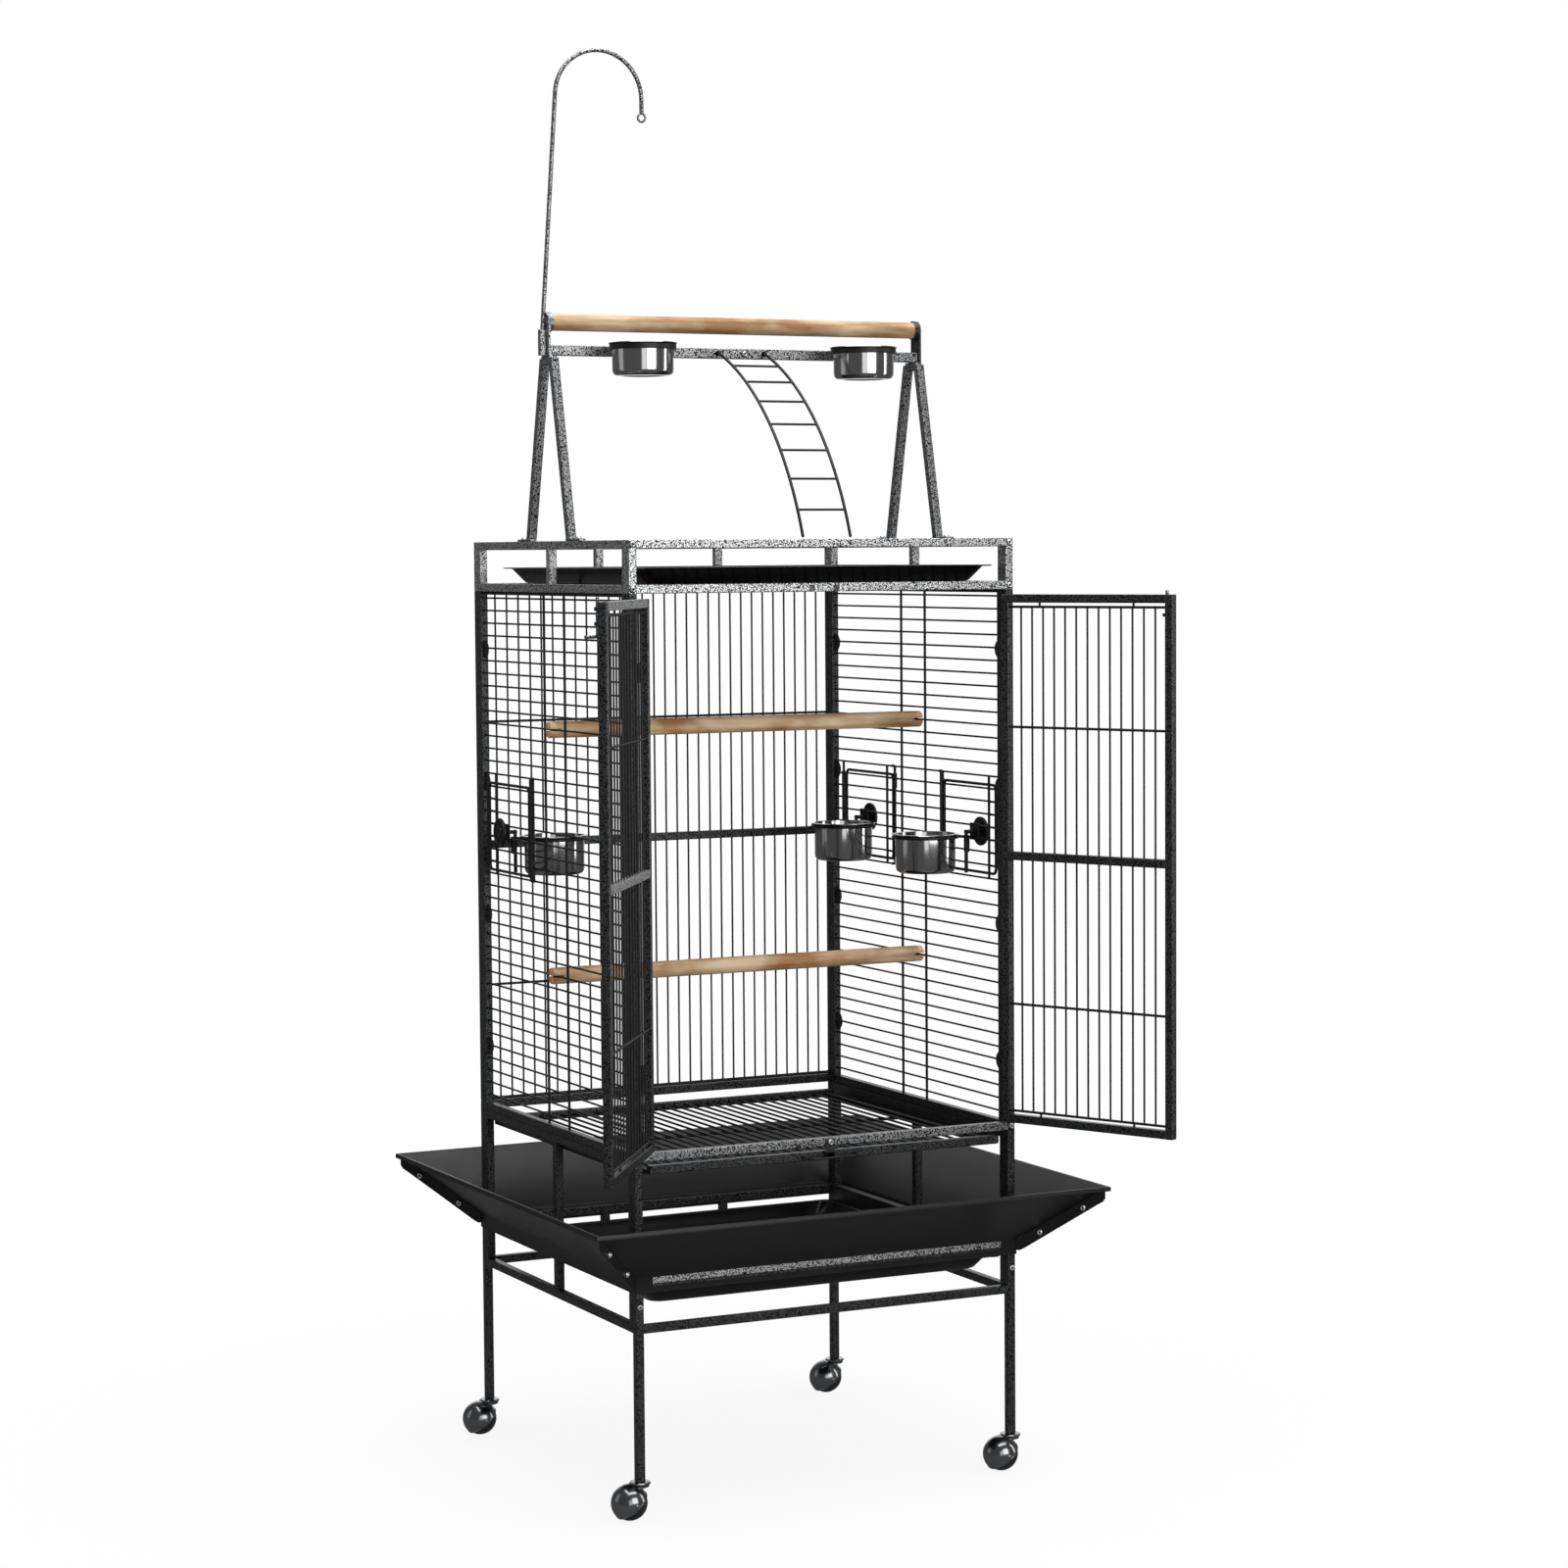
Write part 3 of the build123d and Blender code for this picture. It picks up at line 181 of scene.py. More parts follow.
# %% [markdown]
# ## Outlines
# A cage is made of two kinds of stock: round wire and square tube with rounded corners. A mesh
# circle and a bevelled square would give both outlines. Worked out as points they come at any
# size, and a point beside each corner keeps the flats evenly lit, as on rolled tube.

# %% Outlines
TUBE_EDGE, HOLD = 1.3, 0.3


def circle(radius, count=12):
    """A round outline: the radius times cosine and sine of equal steps of angle."""
    a = np.arange(count) * 2 * math.pi / count
    return np.stack([radius * np.cos(a), radius * np.sin(a)], -1)


def rounded(width, height, radius, steps=3):
    """A rectangle with round corners: four quarter circles about the inset corners.

    A point on the flat before and after each arc holds the flat's shading flat.
    """
    turns = np.linspace(0, math.pi / 2, steps + 1)
    a = np.concatenate([turns[:1], turns, turns[-1:]]) + np.arange(4)[:, None] * math.pi / 2
    off = min(HOLD, 0.1 * (min(width, height) / 2 - radius))
    hold = np.array([-off] + [0.0] * (steps + 1) + [off])
    x = np.array([1, -1, -1, 1])[:, None] * (width / 2 - radius) + radius * np.cos(a) - hold * np.sin(a)
    y = np.array([1, 1, -1, -1])[:, None] * (height / 2 - radius) + radius * np.sin(a) + hold * np.cos(a)
    return np.stack([x, y], -1).reshape(-1, 2)


tube_points = len(rounded(TUBE, TUBE, TUBE_EDGE))
print("a wire's outline has", len(circle(WIRE / 2)), "points, a tube's", tube_points)

# %% [markdown]
# ## Outlines carried along a path
# Wires, tubes and bent rods all keep one outline along their length. A curve object with a bevel
# would draw them too, but carrying the outline by numpy keeps real faces and lets each end be
# eased, as a cut and tumbled wire is.

# %% Sweeping
def frames(path, up, closed=False):
    """Two unit vectors across a path: up crossed with the way ahead, and that crossed again."""
    if closed:
        ahead = np.roll(path, -1, 0) - np.roll(path, 1, 0)
    else:
        ahead = np.gradient(path, axis=0)
    ahead /= np.linalg.norm(ahead, axis=1)[:, None]
    side = np.cross(np.asarray(up, float), ahead)
    side /= np.linalg.norm(side, axis=1)[:, None]
    return side, np.cross(ahead, side)


def sweep(shape, path, outline, up=(0, 0, 1), closed=False, ease=0.0, mark=0):
    """Path point plus outline times the two vectors across; ease shrinks the two ends."""
    path = np.asarray(path, float)
    scale = np.ones(len(path))
    if ease:
        inner = path.copy()
        inner[0] += ease * (path[1] - path[0]) / np.linalg.norm(path[1] - path[0])
        inner[-1] -= ease * (path[-1] - path[-2]) / np.linalg.norm(path[-1] - path[-2])
        path = np.concatenate([path[:1], inner, path[-1:]])
        shrink = 1 - ease / np.abs(outline).max()
        scale = np.array([shrink] + [1.0] * len(inner) + [shrink])
    side, over = frames(path, up, closed)
    if ease:
        side[0], over[0], side[-1], over[-1] = side[1], over[1], side[-2], over[-2]
    spread = outline[None, :, 0, None] * side[:, None] + outline[None, :, 1, None] * over[:, None]
    grid = path[:, None] + spread * scale[:, None, None]
    if closed:
        shape.patch(grid, wrap_u=True, wrap_v=True, mark=mark)
    else:
        shape.solid(grid, mark)


trial = Shape()
sweep(trial, [(0, 0, 0), (100, 0, 0)], circle(WIRE / 2), ease=0.4)
print("a straight wire with eased ends has", len(trial.faces), "faces")

# %% [markdown]
# ## Rods, tubes and plates
# Most of the cage is straight stock: drawn wire, square tube and flat strip. Each could be a
# scaled cylinder or cube, but scaling flattens a rounded edge. These helpers carry an outline of
# the true size between two points, so the edge that draws the thin highlight stays the same.

# %% Rods, tubes and plates
ROD_EASE, TUBE_EASE, PLATE_EASE = 0.4, 0.6, 0.5


def beside(a, b):
    """A direction that is not along the line from a to b: up, or back for a steep line."""
    d = np.abs(np.subtract(b, a))
    return (0, 0, 1) if d[2] < 0.7 * np.linalg.norm(d) else (0, 1, 0)


def rod(shape, a, b, diameter, count=12):
    """A round bar: a circle carried from a to b, with eased ends."""
    sweep(shape, [a, b], circle(diameter / 2, count), beside(a, b), ease=min(ROD_EASE, diameter / 8))


def bar(shape, a, b, width=TUBE, mark=0):
    """A square tube: a rounded square carried from a to b, with eased ends."""
    sweep(shape, [a, b], rounded(width, width, TUBE_EDGE), beside(a, b), ease=TUBE_EASE, mark=mark)


def box(shape, x, y, z, corner=0.6, mark=0):
    """A plate between limits on each axis: a rounded rectangle carried along its longest side."""
    spans = np.array([x, y, z], float)
    size, middle = spans[:, 1] - spans[:, 0], spans.mean(1)
    long = int(np.argmax(size))
    a, b, up = middle.copy(), middle.copy(), np.zeros(3)
    a[long], b[long] = spans[long]
    wide, high = ((1, 2), (0, 2), (0, 1))[long]
    up[high] = 1
    corner = min(corner, 0.45 * min(size[wide], size[high]))
    outline = rounded(size[wide], size[high], corner)
    sweep(shape, [a, b], outline, up, ease=min(PLATE_EASE, corner), mark=mark)


print("ends are eased by", ROD_EASE, "mm on a rod,", TUBE_EASE, "on a tube and", PLATE_EASE, "on a plate")

# %% [markdown]
# ## Bent wire
# Handles, hooks and frames are wire bent round a pin, so each corner is an arc of a fixed radius.
# A Bezier curve only comes near to an arc; here the arc is worked out from the corner's angle.

# %% Bent wire
BEND_STEPS = 6


def bend(points, radius):
    """A path whose inner corners are arcs, each blended by sines between its two ends."""
    points = [np.asarray(p, float) for p in points]
    t = np.linspace(0, 1, BEND_STEPS + 1)[:, None]
    path = [points[:1]]
    for before, here, after in zip(points, points[1:], points[2:]):
        a = (before - here) / np.linalg.norm(before - here)
        b = (after - here) / np.linalg.norm(after - here)
        half = math.acos(np.clip(np.dot(a, b), -1, 1)) / 2
        reach = radius / math.tan(half)
        middle = here + (a + b) / np.linalg.norm(a + b) * radius / math.sin(half)
        ends = here + a * reach - middle, here + b * reach - middle
        turn = math.pi - 2 * half
        path.append(middle + (ends[0] * np.sin((1 - t) * turn) + ends[1] * np.sin(t * turn)) / math.sin(turn))
    return np.concatenate(path + [points[-1:]])


def loop(shape, corners, radius, diameter, up):
    """A closed round wire: a circle carried round corner points with arcs at the corners."""
    start = (np.asarray(corners[-1], float) + np.asarray(corners[0], float)) / 2
    path = bend([start, *corners, start], radius)[:-1]
    sweep(shape, path, circle(diameter / 2), up, closed=True)


print("a right angle at 10 mm radius has", len(bend([(0, 0, 0), (50, 0, 0), (50, 50, 0)], 10)), "path points")

# %% [markdown]
# ## Turned and cut shapes
# Cups, bolts, knobs and casters were spun or turned, so an outline of radius and height is turned
# about an axis, which gives the rolled rims exactly. Flat plates with holes are cut into
# triangles between their outlines, which a plain grid could not do.

# %% Turning and cutting
def lathe(shape, profile, origin, axis=(0, 0, 1), count=48, mark=0):
    """Origin plus radius times a turning unit vector plus height times the axis.

    A radius of nought is a pole, which closes when doubles are merged; mark may be one a step.
    """
    axis = np.asarray(axis, float) / np.linalg.norm(axis)
    helper = np.array([1.0, 0, 0]) if abs(axis[0]) < 0.9 else np.array([0, 1.0, 0])
    e1 = np.cross(axis, helper)
    e1 /= np.linalg.norm(e1)
    e2 = np.cross(axis, e1)
    ring = circle(1, count) @ np.stack([e1, e2])
    profile = np.asarray(profile, float)
    grid = np.asarray(origin) + profile[:, 0, None, None] * ring + profile[:, 1, None, None] * axis
    shape.patch(grid, wrap_v=True, mark=mark)


def plate(shape, outline, holes, place, thickness):
    """Two cut faces and a wall round each outline; place(points, w) gives them at depth w."""
    loops = [np.asarray(one, float) for one in (outline, *holes)]
    triangles = np.array(tessellate_polygon([one.tolist() for one in loops]))
    for w in (0.0, thickness):
        shape.take(place(np.concatenate(loops), w), triangles, 0)
    for one in loops:
        shape.patch(np.stack([place(one, 0.0), place(one, thickness)]), wrap_v=True)


trial = Shape()
lathe(trial, [(0, 0), (10, 0), (10, 20)], (0, 0, 0))
print("an outline of three points turned in 48 steps has", len(trial.faces), "faces")

# %% [markdown]
# ## Finishes
# A finish could be a picture wrapped round the piece, but a picture needs unwrapping and has one
# scale only. Here each finish is a small node tree that reads the point's own position in
# millimetres, so its grain has a real size on every piece. One helper adds a node, sets its
# properties and links its sockets. Colours are written as sRGB hex and turned into linear values.

# %% Node helper
def linear(code):
    """Linear colour of an sRGB hex code: each channel is undone from the sRGB curve."""
    values = [int(code[i:i + 2], 16) / 255 for i in (1, 3, 5)]
    return tuple(v / 12.92 if v <= 0.04045 else ((v + 0.055) / 1.055) ** 2.4 for v in values) + (1.0,)


def add(tree, kind, inputs=None, stops=(), **settings):
    """One node, new by its kind or one that is there; an input that is a socket is linked."""
    node = tree.nodes.new("ShaderNode" + kind) if isinstance(kind, str) else kind
    for key, value in settings.items():
        setattr(node, key, value)
    for key, value in (inputs or {}).items():
        if isinstance(value, bpy.types.NodeSocket):
            tree.links.new(value, node.inputs[key])
        else:
            node.inputs[key].default_value = value
    for k, (at, code) in enumerate(stops):
        one = node.color_ramp.elements[k] if k < 2 else node.color_ramp.elements.new(at)
        one.position, one.color = at, linear(code)
    return node


def finish(name):
    """A named material, its node tree and the point being shaded, in millimetres."""
    material = bpy.data.materials.new(name)
    material.use_nodes = True
    tree = material.node_tree
    place = add(tree, "TexCoord").outputs["Object"]
    point = add(tree, "VectorMath", {0: place, 1: (1000, 1000, 1000)}, operation="MULTIPLY").outputs[0]
    return material, tree, point


print("mid grey #808080 is", round(linear("#808080")[0], 3), "in linear light")

# %% [markdown]
# ## Hammered powder coat
# The tubes have a hammertone powder coat, baked on: silvery dimples well under a millimetre deep
# with dark veins between them, which gives the eye a sparkle close up and an even grey from afar.
# A photo of such paint would repeat; the distance to scattered points gives dimples that never
# do, and a fine noise frays their edges. The real dimples are about one millimetre wide; they are
# drawn near two so that the render shows them. The one coat is drawn in three tones of painted
# light: a painted highlight on the play top, painted half shade on the splayed stands and the bar,
# and painted shade on the stand, the walls and the tubes turned from the light.

# %% Hammertone
def hammertone(name, vein, pale, metal):
    """Distance to random points plus noise; low is a pale dimple, high a dark vein."""
    material, tree, point = finish(name)
    cells = add(tree, "TexVoronoi", {"Vector": point, "Scale": 1 / 1.8, "Smoothness": 0.25},
                feature="SMOOTH_F1")
    fine = add(tree, "TexNoise", {"Vector": point, "Scale": 1 / 1.5, "Detail": 3.0})
    broad = add(tree, "TexNoise", {"Vector": point, "Scale": 1 / 70, "Detail": 2.0})
    fray = add(tree, "MapRange", {"Value": fine.outputs[0], "To Min": -0.28, "To Max": 0.28})
    relief = add(tree, "Math", {0: cells.outputs["Distance"], 1: fray.outputs[0]}, operation="ADD").outputs[0]
    tone = add(tree, "ValToRGB", {"Fac": relief}, [(0.36, pale), (0.6, vein), (0.85, "#08080a")])
    rough = add(tree, "MapRange", {"Value": broad.outputs[0], "To Min": 0.3, "To Max": 0.42})
    bump = add(tree, "Bump", {"Height": relief, "Strength": 0.5, "Distance": 0.0003})
    add(tree, tree.nodes["Principled BSDF"],
        {"Base Color": tone.outputs[0], "Metallic": metal,
         "Roughness": rough.outputs[0], "Normal": bump.outputs[0]})
    return material


# Pale dimples in grey veins, as a painted highlight: the brightly lit, speckled tubes of the play top.
HAMMER_PAINTED_LIT = hammertone("hammertone_coat_painted_highlight", "#6a6c6e", "#f4f5f6", 0.9)
# Half as bright, as painted half shade: the stands and the bar, whose speckle shows only near the light.
HAMMER_PAINTED_HALF_SHADE = hammertone("hammertone_coat_painted_half_shade", "#333436", "#c6c8ca", 0.85)
# Nearly black with a faint grain, as painted shade: posts, legs and walls.
HAMMER_PAINTED_SHADE = hammertone("hammertone_coat_painted_shade", "#232425", "#5f6163", 0.75)
print("hammertone:", ", ".join(one.name for one in (HAMMER_PAINTED_LIT, HAMMER_PAINTED_HALF_SHADE, HAMMER_PAINTED_SHADE)))

# %% [markdown]
# ## Plain black coat
# The sheet skirts and wires have a plain black powder coat. Sprayed and melted, it sets with a
# slight orange peel, which breaks a highlight into soft beads. A flat black would look cut out of
# paper, so two near blacks are mixed by a broad noise and the peel is relief of its real size.

# %% Plain black coat
def black_coat(name, code, rough, grain, depth):
    """Two near blacks mixed by a broad noise, with dimples of the grain's size as relief."""
    material, tree, point = finish(name)
    peel = add(tree, "TexVoronoi", {"Vector": point, "Scale": 1 / grain}, feature="SMOOTH_F1")
    broad = add(tree, "TexNoise", {"Vector": point, "Scale": 1 / 45, "Detail": 4.0}).outputs[0]
    share = add(tree, "MapRange", {"Value": broad, "To Max": 0.6}).outputs[0]
    tone = add(tree, "Mix", {0: share, 6: linear(code), 7: linear("#161617")}, data_type="RGBA")
    gloss = add(tree, "MapRange", {"Value": broad, "To Min": rough - 0.06, "To Max": rough + 0.08})
    bump = add(tree, "Bump", {"Height": peel.outputs["Distance"], "Strength": 0.5, "Distance": depth / 1000})
    add(tree, tree.nodes["Principled BSDF"],
        {"Base Color": tone.outputs[2], "Roughness": gloss.outputs[0],
         "Normal": bump.outputs[0]})
    return material


# Satin sheet: soft broad highlights along the folds.
SKIRT = black_coat("satin_black_powder_coated_sheet", "#0b0b0c", 0.38, 1.9, 0.09)
# Wire: so thin that the eye gets one pale line along it.
WIRE_BLACK = black_coat("black_powder_coated_wire", "#0b0b0c", 0.45, 1.4, 0.05)
print("black coats:", SKIRT.name, "and", WIRE_BLACK.name)

# %% [markdown]
# ## Bare metals
# The cups are drawn and polished stainless steel, the bolts zinc plated, and the caster shells
# carry a dark nickel plate. A metal has no colour of its own beyond what it mirrors, so these
# finishes are a tint, a gloss that is a little uneven, and the faint lines left by drawing. Those
# lines are finer than a tenth of a millimetre; they are drawn at half a millimetre to show.

# %% Bare metals
def polished(name, code, rough, line):
    """Bare metal; noise stretched along Z gives drawing lines, a broad noise uneven gloss."""
    material, tree, point = finish(name)
    drawn = add(tree, "Mapping", {"Vector": point, "Scale": (1, 1, 9)}).outputs[0]
    lines = add(tree, "TexNoise", {"Vector": drawn, "Scale": 1 / line, "Detail": 3.0})
    stain = add(tree, "TexNoise", {"Vector": point, "Scale": 1 / 30, "Detail": 2.0})
    gloss = add(tree, "MapRange", {"Value": stain.outputs[0], "To Min": rough * 0.7, "To Max": rough * 1.4})
    bump = add(tree, "Bump", {"Height": lines.outputs[0], "Strength": 0.25, "Distance": 0.00002})
    add(tree, tree.nodes["Principled BSDF"],
        {"Base Color": linear(code), "Metallic": 1.0,
         "Roughness": gloss.outputs[0], "Normal": bump.outputs[0]})
    return material


# Clear dark and bright bands, which show the room and the white backdrop.
STEEL = polished("polished_stainless_steel", "#c9c8c9", 0.12, 0.5)
# Small bright heads with a frosted gloss.
ZINC = polished("bright_zinc_plate", "#eeeff0", 0.34, 0.8)
# A smoky mirror that darkens what it shows.
CHROME = polished("black_nickel_plate", "#96989b", 0.18, 0.7)
# Painted shade, dull and nearly black: the inside of a bolt's socket, the line under its head and the mouth
# of a drilled hole.
RECESS_SHADE = polished("painted_recess_shade", "#0b0b0b", 0.6, 1.0)
print("metals:", ", ".join(one.name for one in (STEEL, ZINC, CHROME, RECESS_SHADE)))

# %% [markdown]
# ## Plastics
# The trays are glossy sheet plastic formed over a mould, the lock discs and caster treads are
# injection moulded. Moulded plastic shows the mould's fine texture and, more broadly, the flow of
# the melt, so each finish has a fine noise for one and a slow wave for the other. A wave can't be
# seen in the shape itself, but it bends the reflections as real sheet does.

# %% Plastics
def moulded(name, code, rough, grain, depth, shine=0.5):
    """Plastic; a fine noise is the mould's texture and a broad one the flow of the melt."""
    material, tree, point = finish(name)
    fine = add(tree, "TexNoise", {"Vector": point, "Scale": 1 / grain, "Detail": 3.0})
    flow = add(tree, "TexNoise", {"Vector": point, "Scale": 1 / 120, "Detail": 2.0}).outputs[0]
    gloss = add(tree, "MapRange", {"Value": flow, "To Min": rough - 0.05, "To Max": rough + 0.08})
    wave = add(tree, "Bump", {"Height": flow, "Strength": 0.15, "Distance": 0.0012}).outputs[0]
    bump = add(tree, "Bump", {"Height": fine.outputs[0], "Strength": 0.3, "Distance": depth / 1000,
                              "Normal": wave})
    add(tree, tree.nodes["Principled BSDF"],
        {"Base Color": linear(code), "Roughness": gloss.outputs[0], "Specular IOR Level": shine,
         "Normal": bump.outputs[0]})
    return material


# Deep gloss with slow ripples: the window of the backdrop lies on the tray's floor.
TRAY = moulded("gloss_black_abs_sheet", "#0a0a0b", 0.2, 1.2, 0.02, 0.25)
# Matt black that shows its ribs only by their edges.
KNOB = moulded("black_moulded_nylon", "#141415", 0.42, 0.9, 0.04)
# Hard and slightly shiny, so the ball keeps one clear highlight.
TREAD = moulded("dark_polyurethane_tread", "#18191a", 0.3, 1.1, 0.04)
print("plastics:", ", ".join(one.name for one in (TRAY, KNOB, TREAD)))

# %% [markdown]
# ## Turned wood
# The perches are pale turned softwood, bare or barely waxed, which gives the eye warm streaks, a
# dull sheen and a few dark knots. A wood photo would show the same knots on every stick. Here
# noise stretched along X is the grain, a broad noise makes the patches where sap has darkened,
# and knots are dark rings round scattered points, so each stick gets its own.

# %% Wood
def timber(name, dark, mid, light):
    """Streaks along X, multiplied by broad patches and by dark rings round a few points."""
    material, tree, point = finish(name)
    along = add(tree, "Mapping", {"Vector": point, "Scale": (0.06, 1, 1)}).outputs[0]
    blots = add(tree, "Mapping", {"Vector": point, "Scale": (0.7, 1.6, 1.6)}).outputs[0]
    streak = add(tree, "TexNoise", {"Vector": along, "Scale": 1 / 9, "Detail": 6.0}).outputs[0]
    pores = add(tree, "TexNoise", {"Vector": along, "Scale": 1 / 2.2, "Detail": 4.0}).outputs[0]
    patch = add(tree, "TexNoise", {"Vector": blots, "Scale": 1 / 70, "Detail": 3.0}).outputs[0]
    knots = add(tree, "TexVoronoi", {"Vector": blots, "Scale": 1 / 150}).outputs["Distance"]
    base = add(tree, "ValToRGB", {"Fac": streak}, [(0.3, dark), (0.48, mid), (0.68, light)])
    share = add(tree, "MapRange", {"Value": patch, "From Min": 0.4, "From Max": 0.62}).outputs[0]
    sap = add(tree, "Mix", {0: share, 6: base.outputs[0], 7: linear("#c7a681")},
              data_type="RGBA", blend_type="MULTIPLY").outputs[2]
    eyes = add(tree, "ValToRGB", {"Fac": knots}, [(0.02, "#4a2f18"), (0.07, "#a07a50"), (0.13, "#ffffff")])
    tone = add(tree, "Mix", {0: 0.85, 6: sap, 7: eyes.outputs[0]}, data_type="RGBA", blend_type="MULTIPLY")
    rough = add(tree, "MapRange", {"Value": pores, "To Min": 0.5, "To Max": 0.7})
    ridge = add(tree, "Bump", {"Height": streak, "Strength": 0.3, "Distance": 0.0004}).outputs[0]
    bump = add(tree, "Bump", {"Height": pores, "Strength": 0.4, "Distance": 0.00025, "Normal": ridge})
    add(tree, tree.nodes["Principled BSDF"],
        {"Base Color": tone.outputs[2], "Roughness": rough.outputs[0],
         "Normal": bump.outputs[0]})
    return material


# Pale and dry, inside the cage.
WOOD = timber("pale_turned_pine", "#bc9b73", "#dfc098", "#ecd6b6")
# A little deeper in tone, on the play top.
PLAY_WOOD = timber("deeper_turned_pine", "#9e8260", "#bfa480", "#cdb99b")
print("wood:", WOOD.name, "and", PLAY_WOOD.name, "with", len(WOOD.node_tree.nodes), "nodes each")

# %% [markdown]
# ## Stand, base and play-top frames
# The cage stands on welded frames of half-inch square tube, bolted together at the corners. A
# cube scaled along one axis would give such a tube, but with razor edges that catch no light.
# Here a rounded square is carried from end to end, so the edge radius is the same at any length,
# and each rail reaches a little into its posts, as a weld does, so that no gap shows.

# %% Posts and rails
WELD = 1.2


def post(shape, x, y, z0, z1):
    """An upright square tube: a rounded square carried from height z0 to z1."""
    bar(shape, (x, y, z0), (x, y, z1))


def rail_x(shape, y, z, half, mark=0):
    """A level tube along X, half its length to each side and a weld more, its underside at z."""
    bar(shape, (-half - WELD, y, z + TUBE / 2), (half + WELD, y, z + TUBE / 2), mark=mark)


def rail_y(shape, x, z, half):
    """A level tube along Y, half its length to each side and a weld more, its underside at z."""
    bar(shape, (x, -half - WELD, z + TUBE / 2), (x, half + WELD, z + TUBE / 2))


print("rails between posts are", 2 * INNER_X, "and", 2 * SIDE_Y - TUBE, "mm long, let in by", WELD, "mm")

# %% [markdown]
# ## Hinge barrels and bolt sleeves
# The doors hang on small barrels welded to the front posts, and their bolts shoot into two short
# sleeves on the roof rail. Both are cut from thick tube. A boolean could drill a cylinder, but it
# leaves long thin faces; turning one closed outline of wall and bore gives clean rings instead.

# %% Hinge barrels and bolt sleeves
PIN_X, PIN_Y, PIN = INNER_X - 0.4, -(HALF_D + 3.4), 3.2
BARREL_Z, BARREL_H, STRAP_X = (640.0, 1210.0), 14.0, (298.8, 304.5)
BARREL = [(1.62, 0), (2.7, 0), (3, 0.3), (3, BARREL_H - 0.3), (2.7, BARREL_H), (1.62, BARREL_H), (1.62, 0)]
SLEEVE_X, SLEEVE_Z, SLEEVE_H, SLEEVE_R = 20.0, ROOF_Z + 0.3, 10.0, 6.0
SLEEVE = [(SLEEVE_R, 0), (SLEEVE_R, SLEEVE_H), (3.3, SLEEVE_H), (3.3, 0), (SLEEVE_R, 0)]


def hinge_barrels(shape):
    """For each side and height: a turned barrel, a pin through and above it, a strap to the post."""
    for s in SIDES.values():
        for z in BARREL_Z:
            low = (s * PIN_X, PIN_Y, z - BARREL_H)
            lathe(shape, BARREL, low, count=20)
            rod(shape, low, (s * PIN_X, PIN_Y, z + BARREL_H + 1.3), PIN)
            box(shape, sorted(s * x for x in STRAP_X), (PIN_Y, -HALF_D + 0.5), (z - BARREL_H, z))


def bolt_sleeves(shape):
    """Two turned sleeves beside the middle of the roof rail, each with a strap behind it."""
    for x in (-SLEEVE_X, SLEEVE_X):
        lathe(shape, SLEEVE, (x, -HALF_D - 4.0, SLEEVE_Z), count=24)
        strap = (-HALF_D - 0.9, -HALF_D + 0.4)
        box(shape, (x - SLEEVE_R, x + SLEEVE_R), strap, (SLEEVE_Z, SLEEVE_Z + SLEEVE_H))


print("hinge pins at x", PIN_X, "and y", round(PIN_Y, 2), "mm, barrels below", BARREL_Z)

# %% [markdown]
# ## Front and back frames
# Seen from the front, stand, base and play top are three welded frames, one on the other. Each
# could be a copy of one frame with an offset, but their posts differ: the front of the base runs
# up to the roof to carry the doors, and only the backs of stand and play top have short posts
# between their rails. So each is drawn post by post, from the same few heights.

# %% Front and back frames
def hang_frames(name, stand, base, top, base_painted_tones):
    """Hangs the frames of stand, base and play top on the cage, each in one tone of the coat, from painted
    shade on the stand to a painted highlight on the play top.
    """
    stack = (("stand", stand, [HAMMER_PAINTED_SHADE]), ("base", base, base_painted_tones), ("top", top, [HAMMER_PAINTED_LIT]))
    for level, shape, coats in stack:
        hang(shape, f"{level}_{name}_tubes", coats, "cage", f"{level}_{name}_frame")


for name, s in ENDS.items():
    y = s * CORNER_Y
    stand, base, top = Shape(), Shape(), Shape()
    for x in (-CORNER_X, CORNER_X):
        post(stand, x, y, LEG_Z, LEG_TOP)
        post(base, x, y, LEG_TOP, FLOOR_Z if s > 0 else ROOF_Z)
        post(top, x, y, ROOF_Z, TOP_Z)
    rail_x(stand, y, STAND_LOW, INNER_X)
    rail_x(stand, y, STAND_HIGH, INNER_X)
    # The front base rail takes the half-shaded tone, a painted lighter band; the back one stays in painted
    # shade.
    rail_x(base, y, PANEL_Z, INNER_X, int(s < 0))
    rail_x(top, y, ROOF_Z, INNER_X)
    rail_x(top, y, TOP_Z - TUBE, INNER_X)
    if s > 0:
        for x in (-THIRD_X, THIRD_X):
            post(stand, x, y, STAND_LOW + TUBE - WELD, STAND_HIGH + WELD)
            post(top, x, y, ROOF_Z + TUBE - WELD, TOP_Z - TUBE + WELD)
    else:
        hinge_barrels(base)
        bolt_sleeves(top)
    hang_frames(name, stand, base, top, [HAMMER_PAINTED_SHADE, HAMMER_PAINTED_HALF_SHADE])

# %% [markdown]
# ## Side frames and runners
# The side frames stand between the front and back ones. Inside, an angle of sheet carries the
# bottom tray, and a higher one the grate, so that both can be drawn out to the front. An L-shaped
# outline could be carried along for it; two thin plates that share an edge look the same from
# inside and use the helper that is already there.

# %% Left and right frames
TRAY_RUNNER, GRATE_RUNNER, ANGLE = (321.7, 14.0), (494.5, 25.0), 2.5


def runner(shape, s, height, reach, web, half):
    """An angle inside a rail: a ledge reaching inwards at a height and a web up to the rail."""
    inside, run = s * INNER_X, (-half, half)
    box(shape, sorted((inside, inside - s * reach)), run, (height - ANGLE, height))
    box(shape, sorted((inside, inside - s * ANGLE)), run, (height - ANGLE, web))


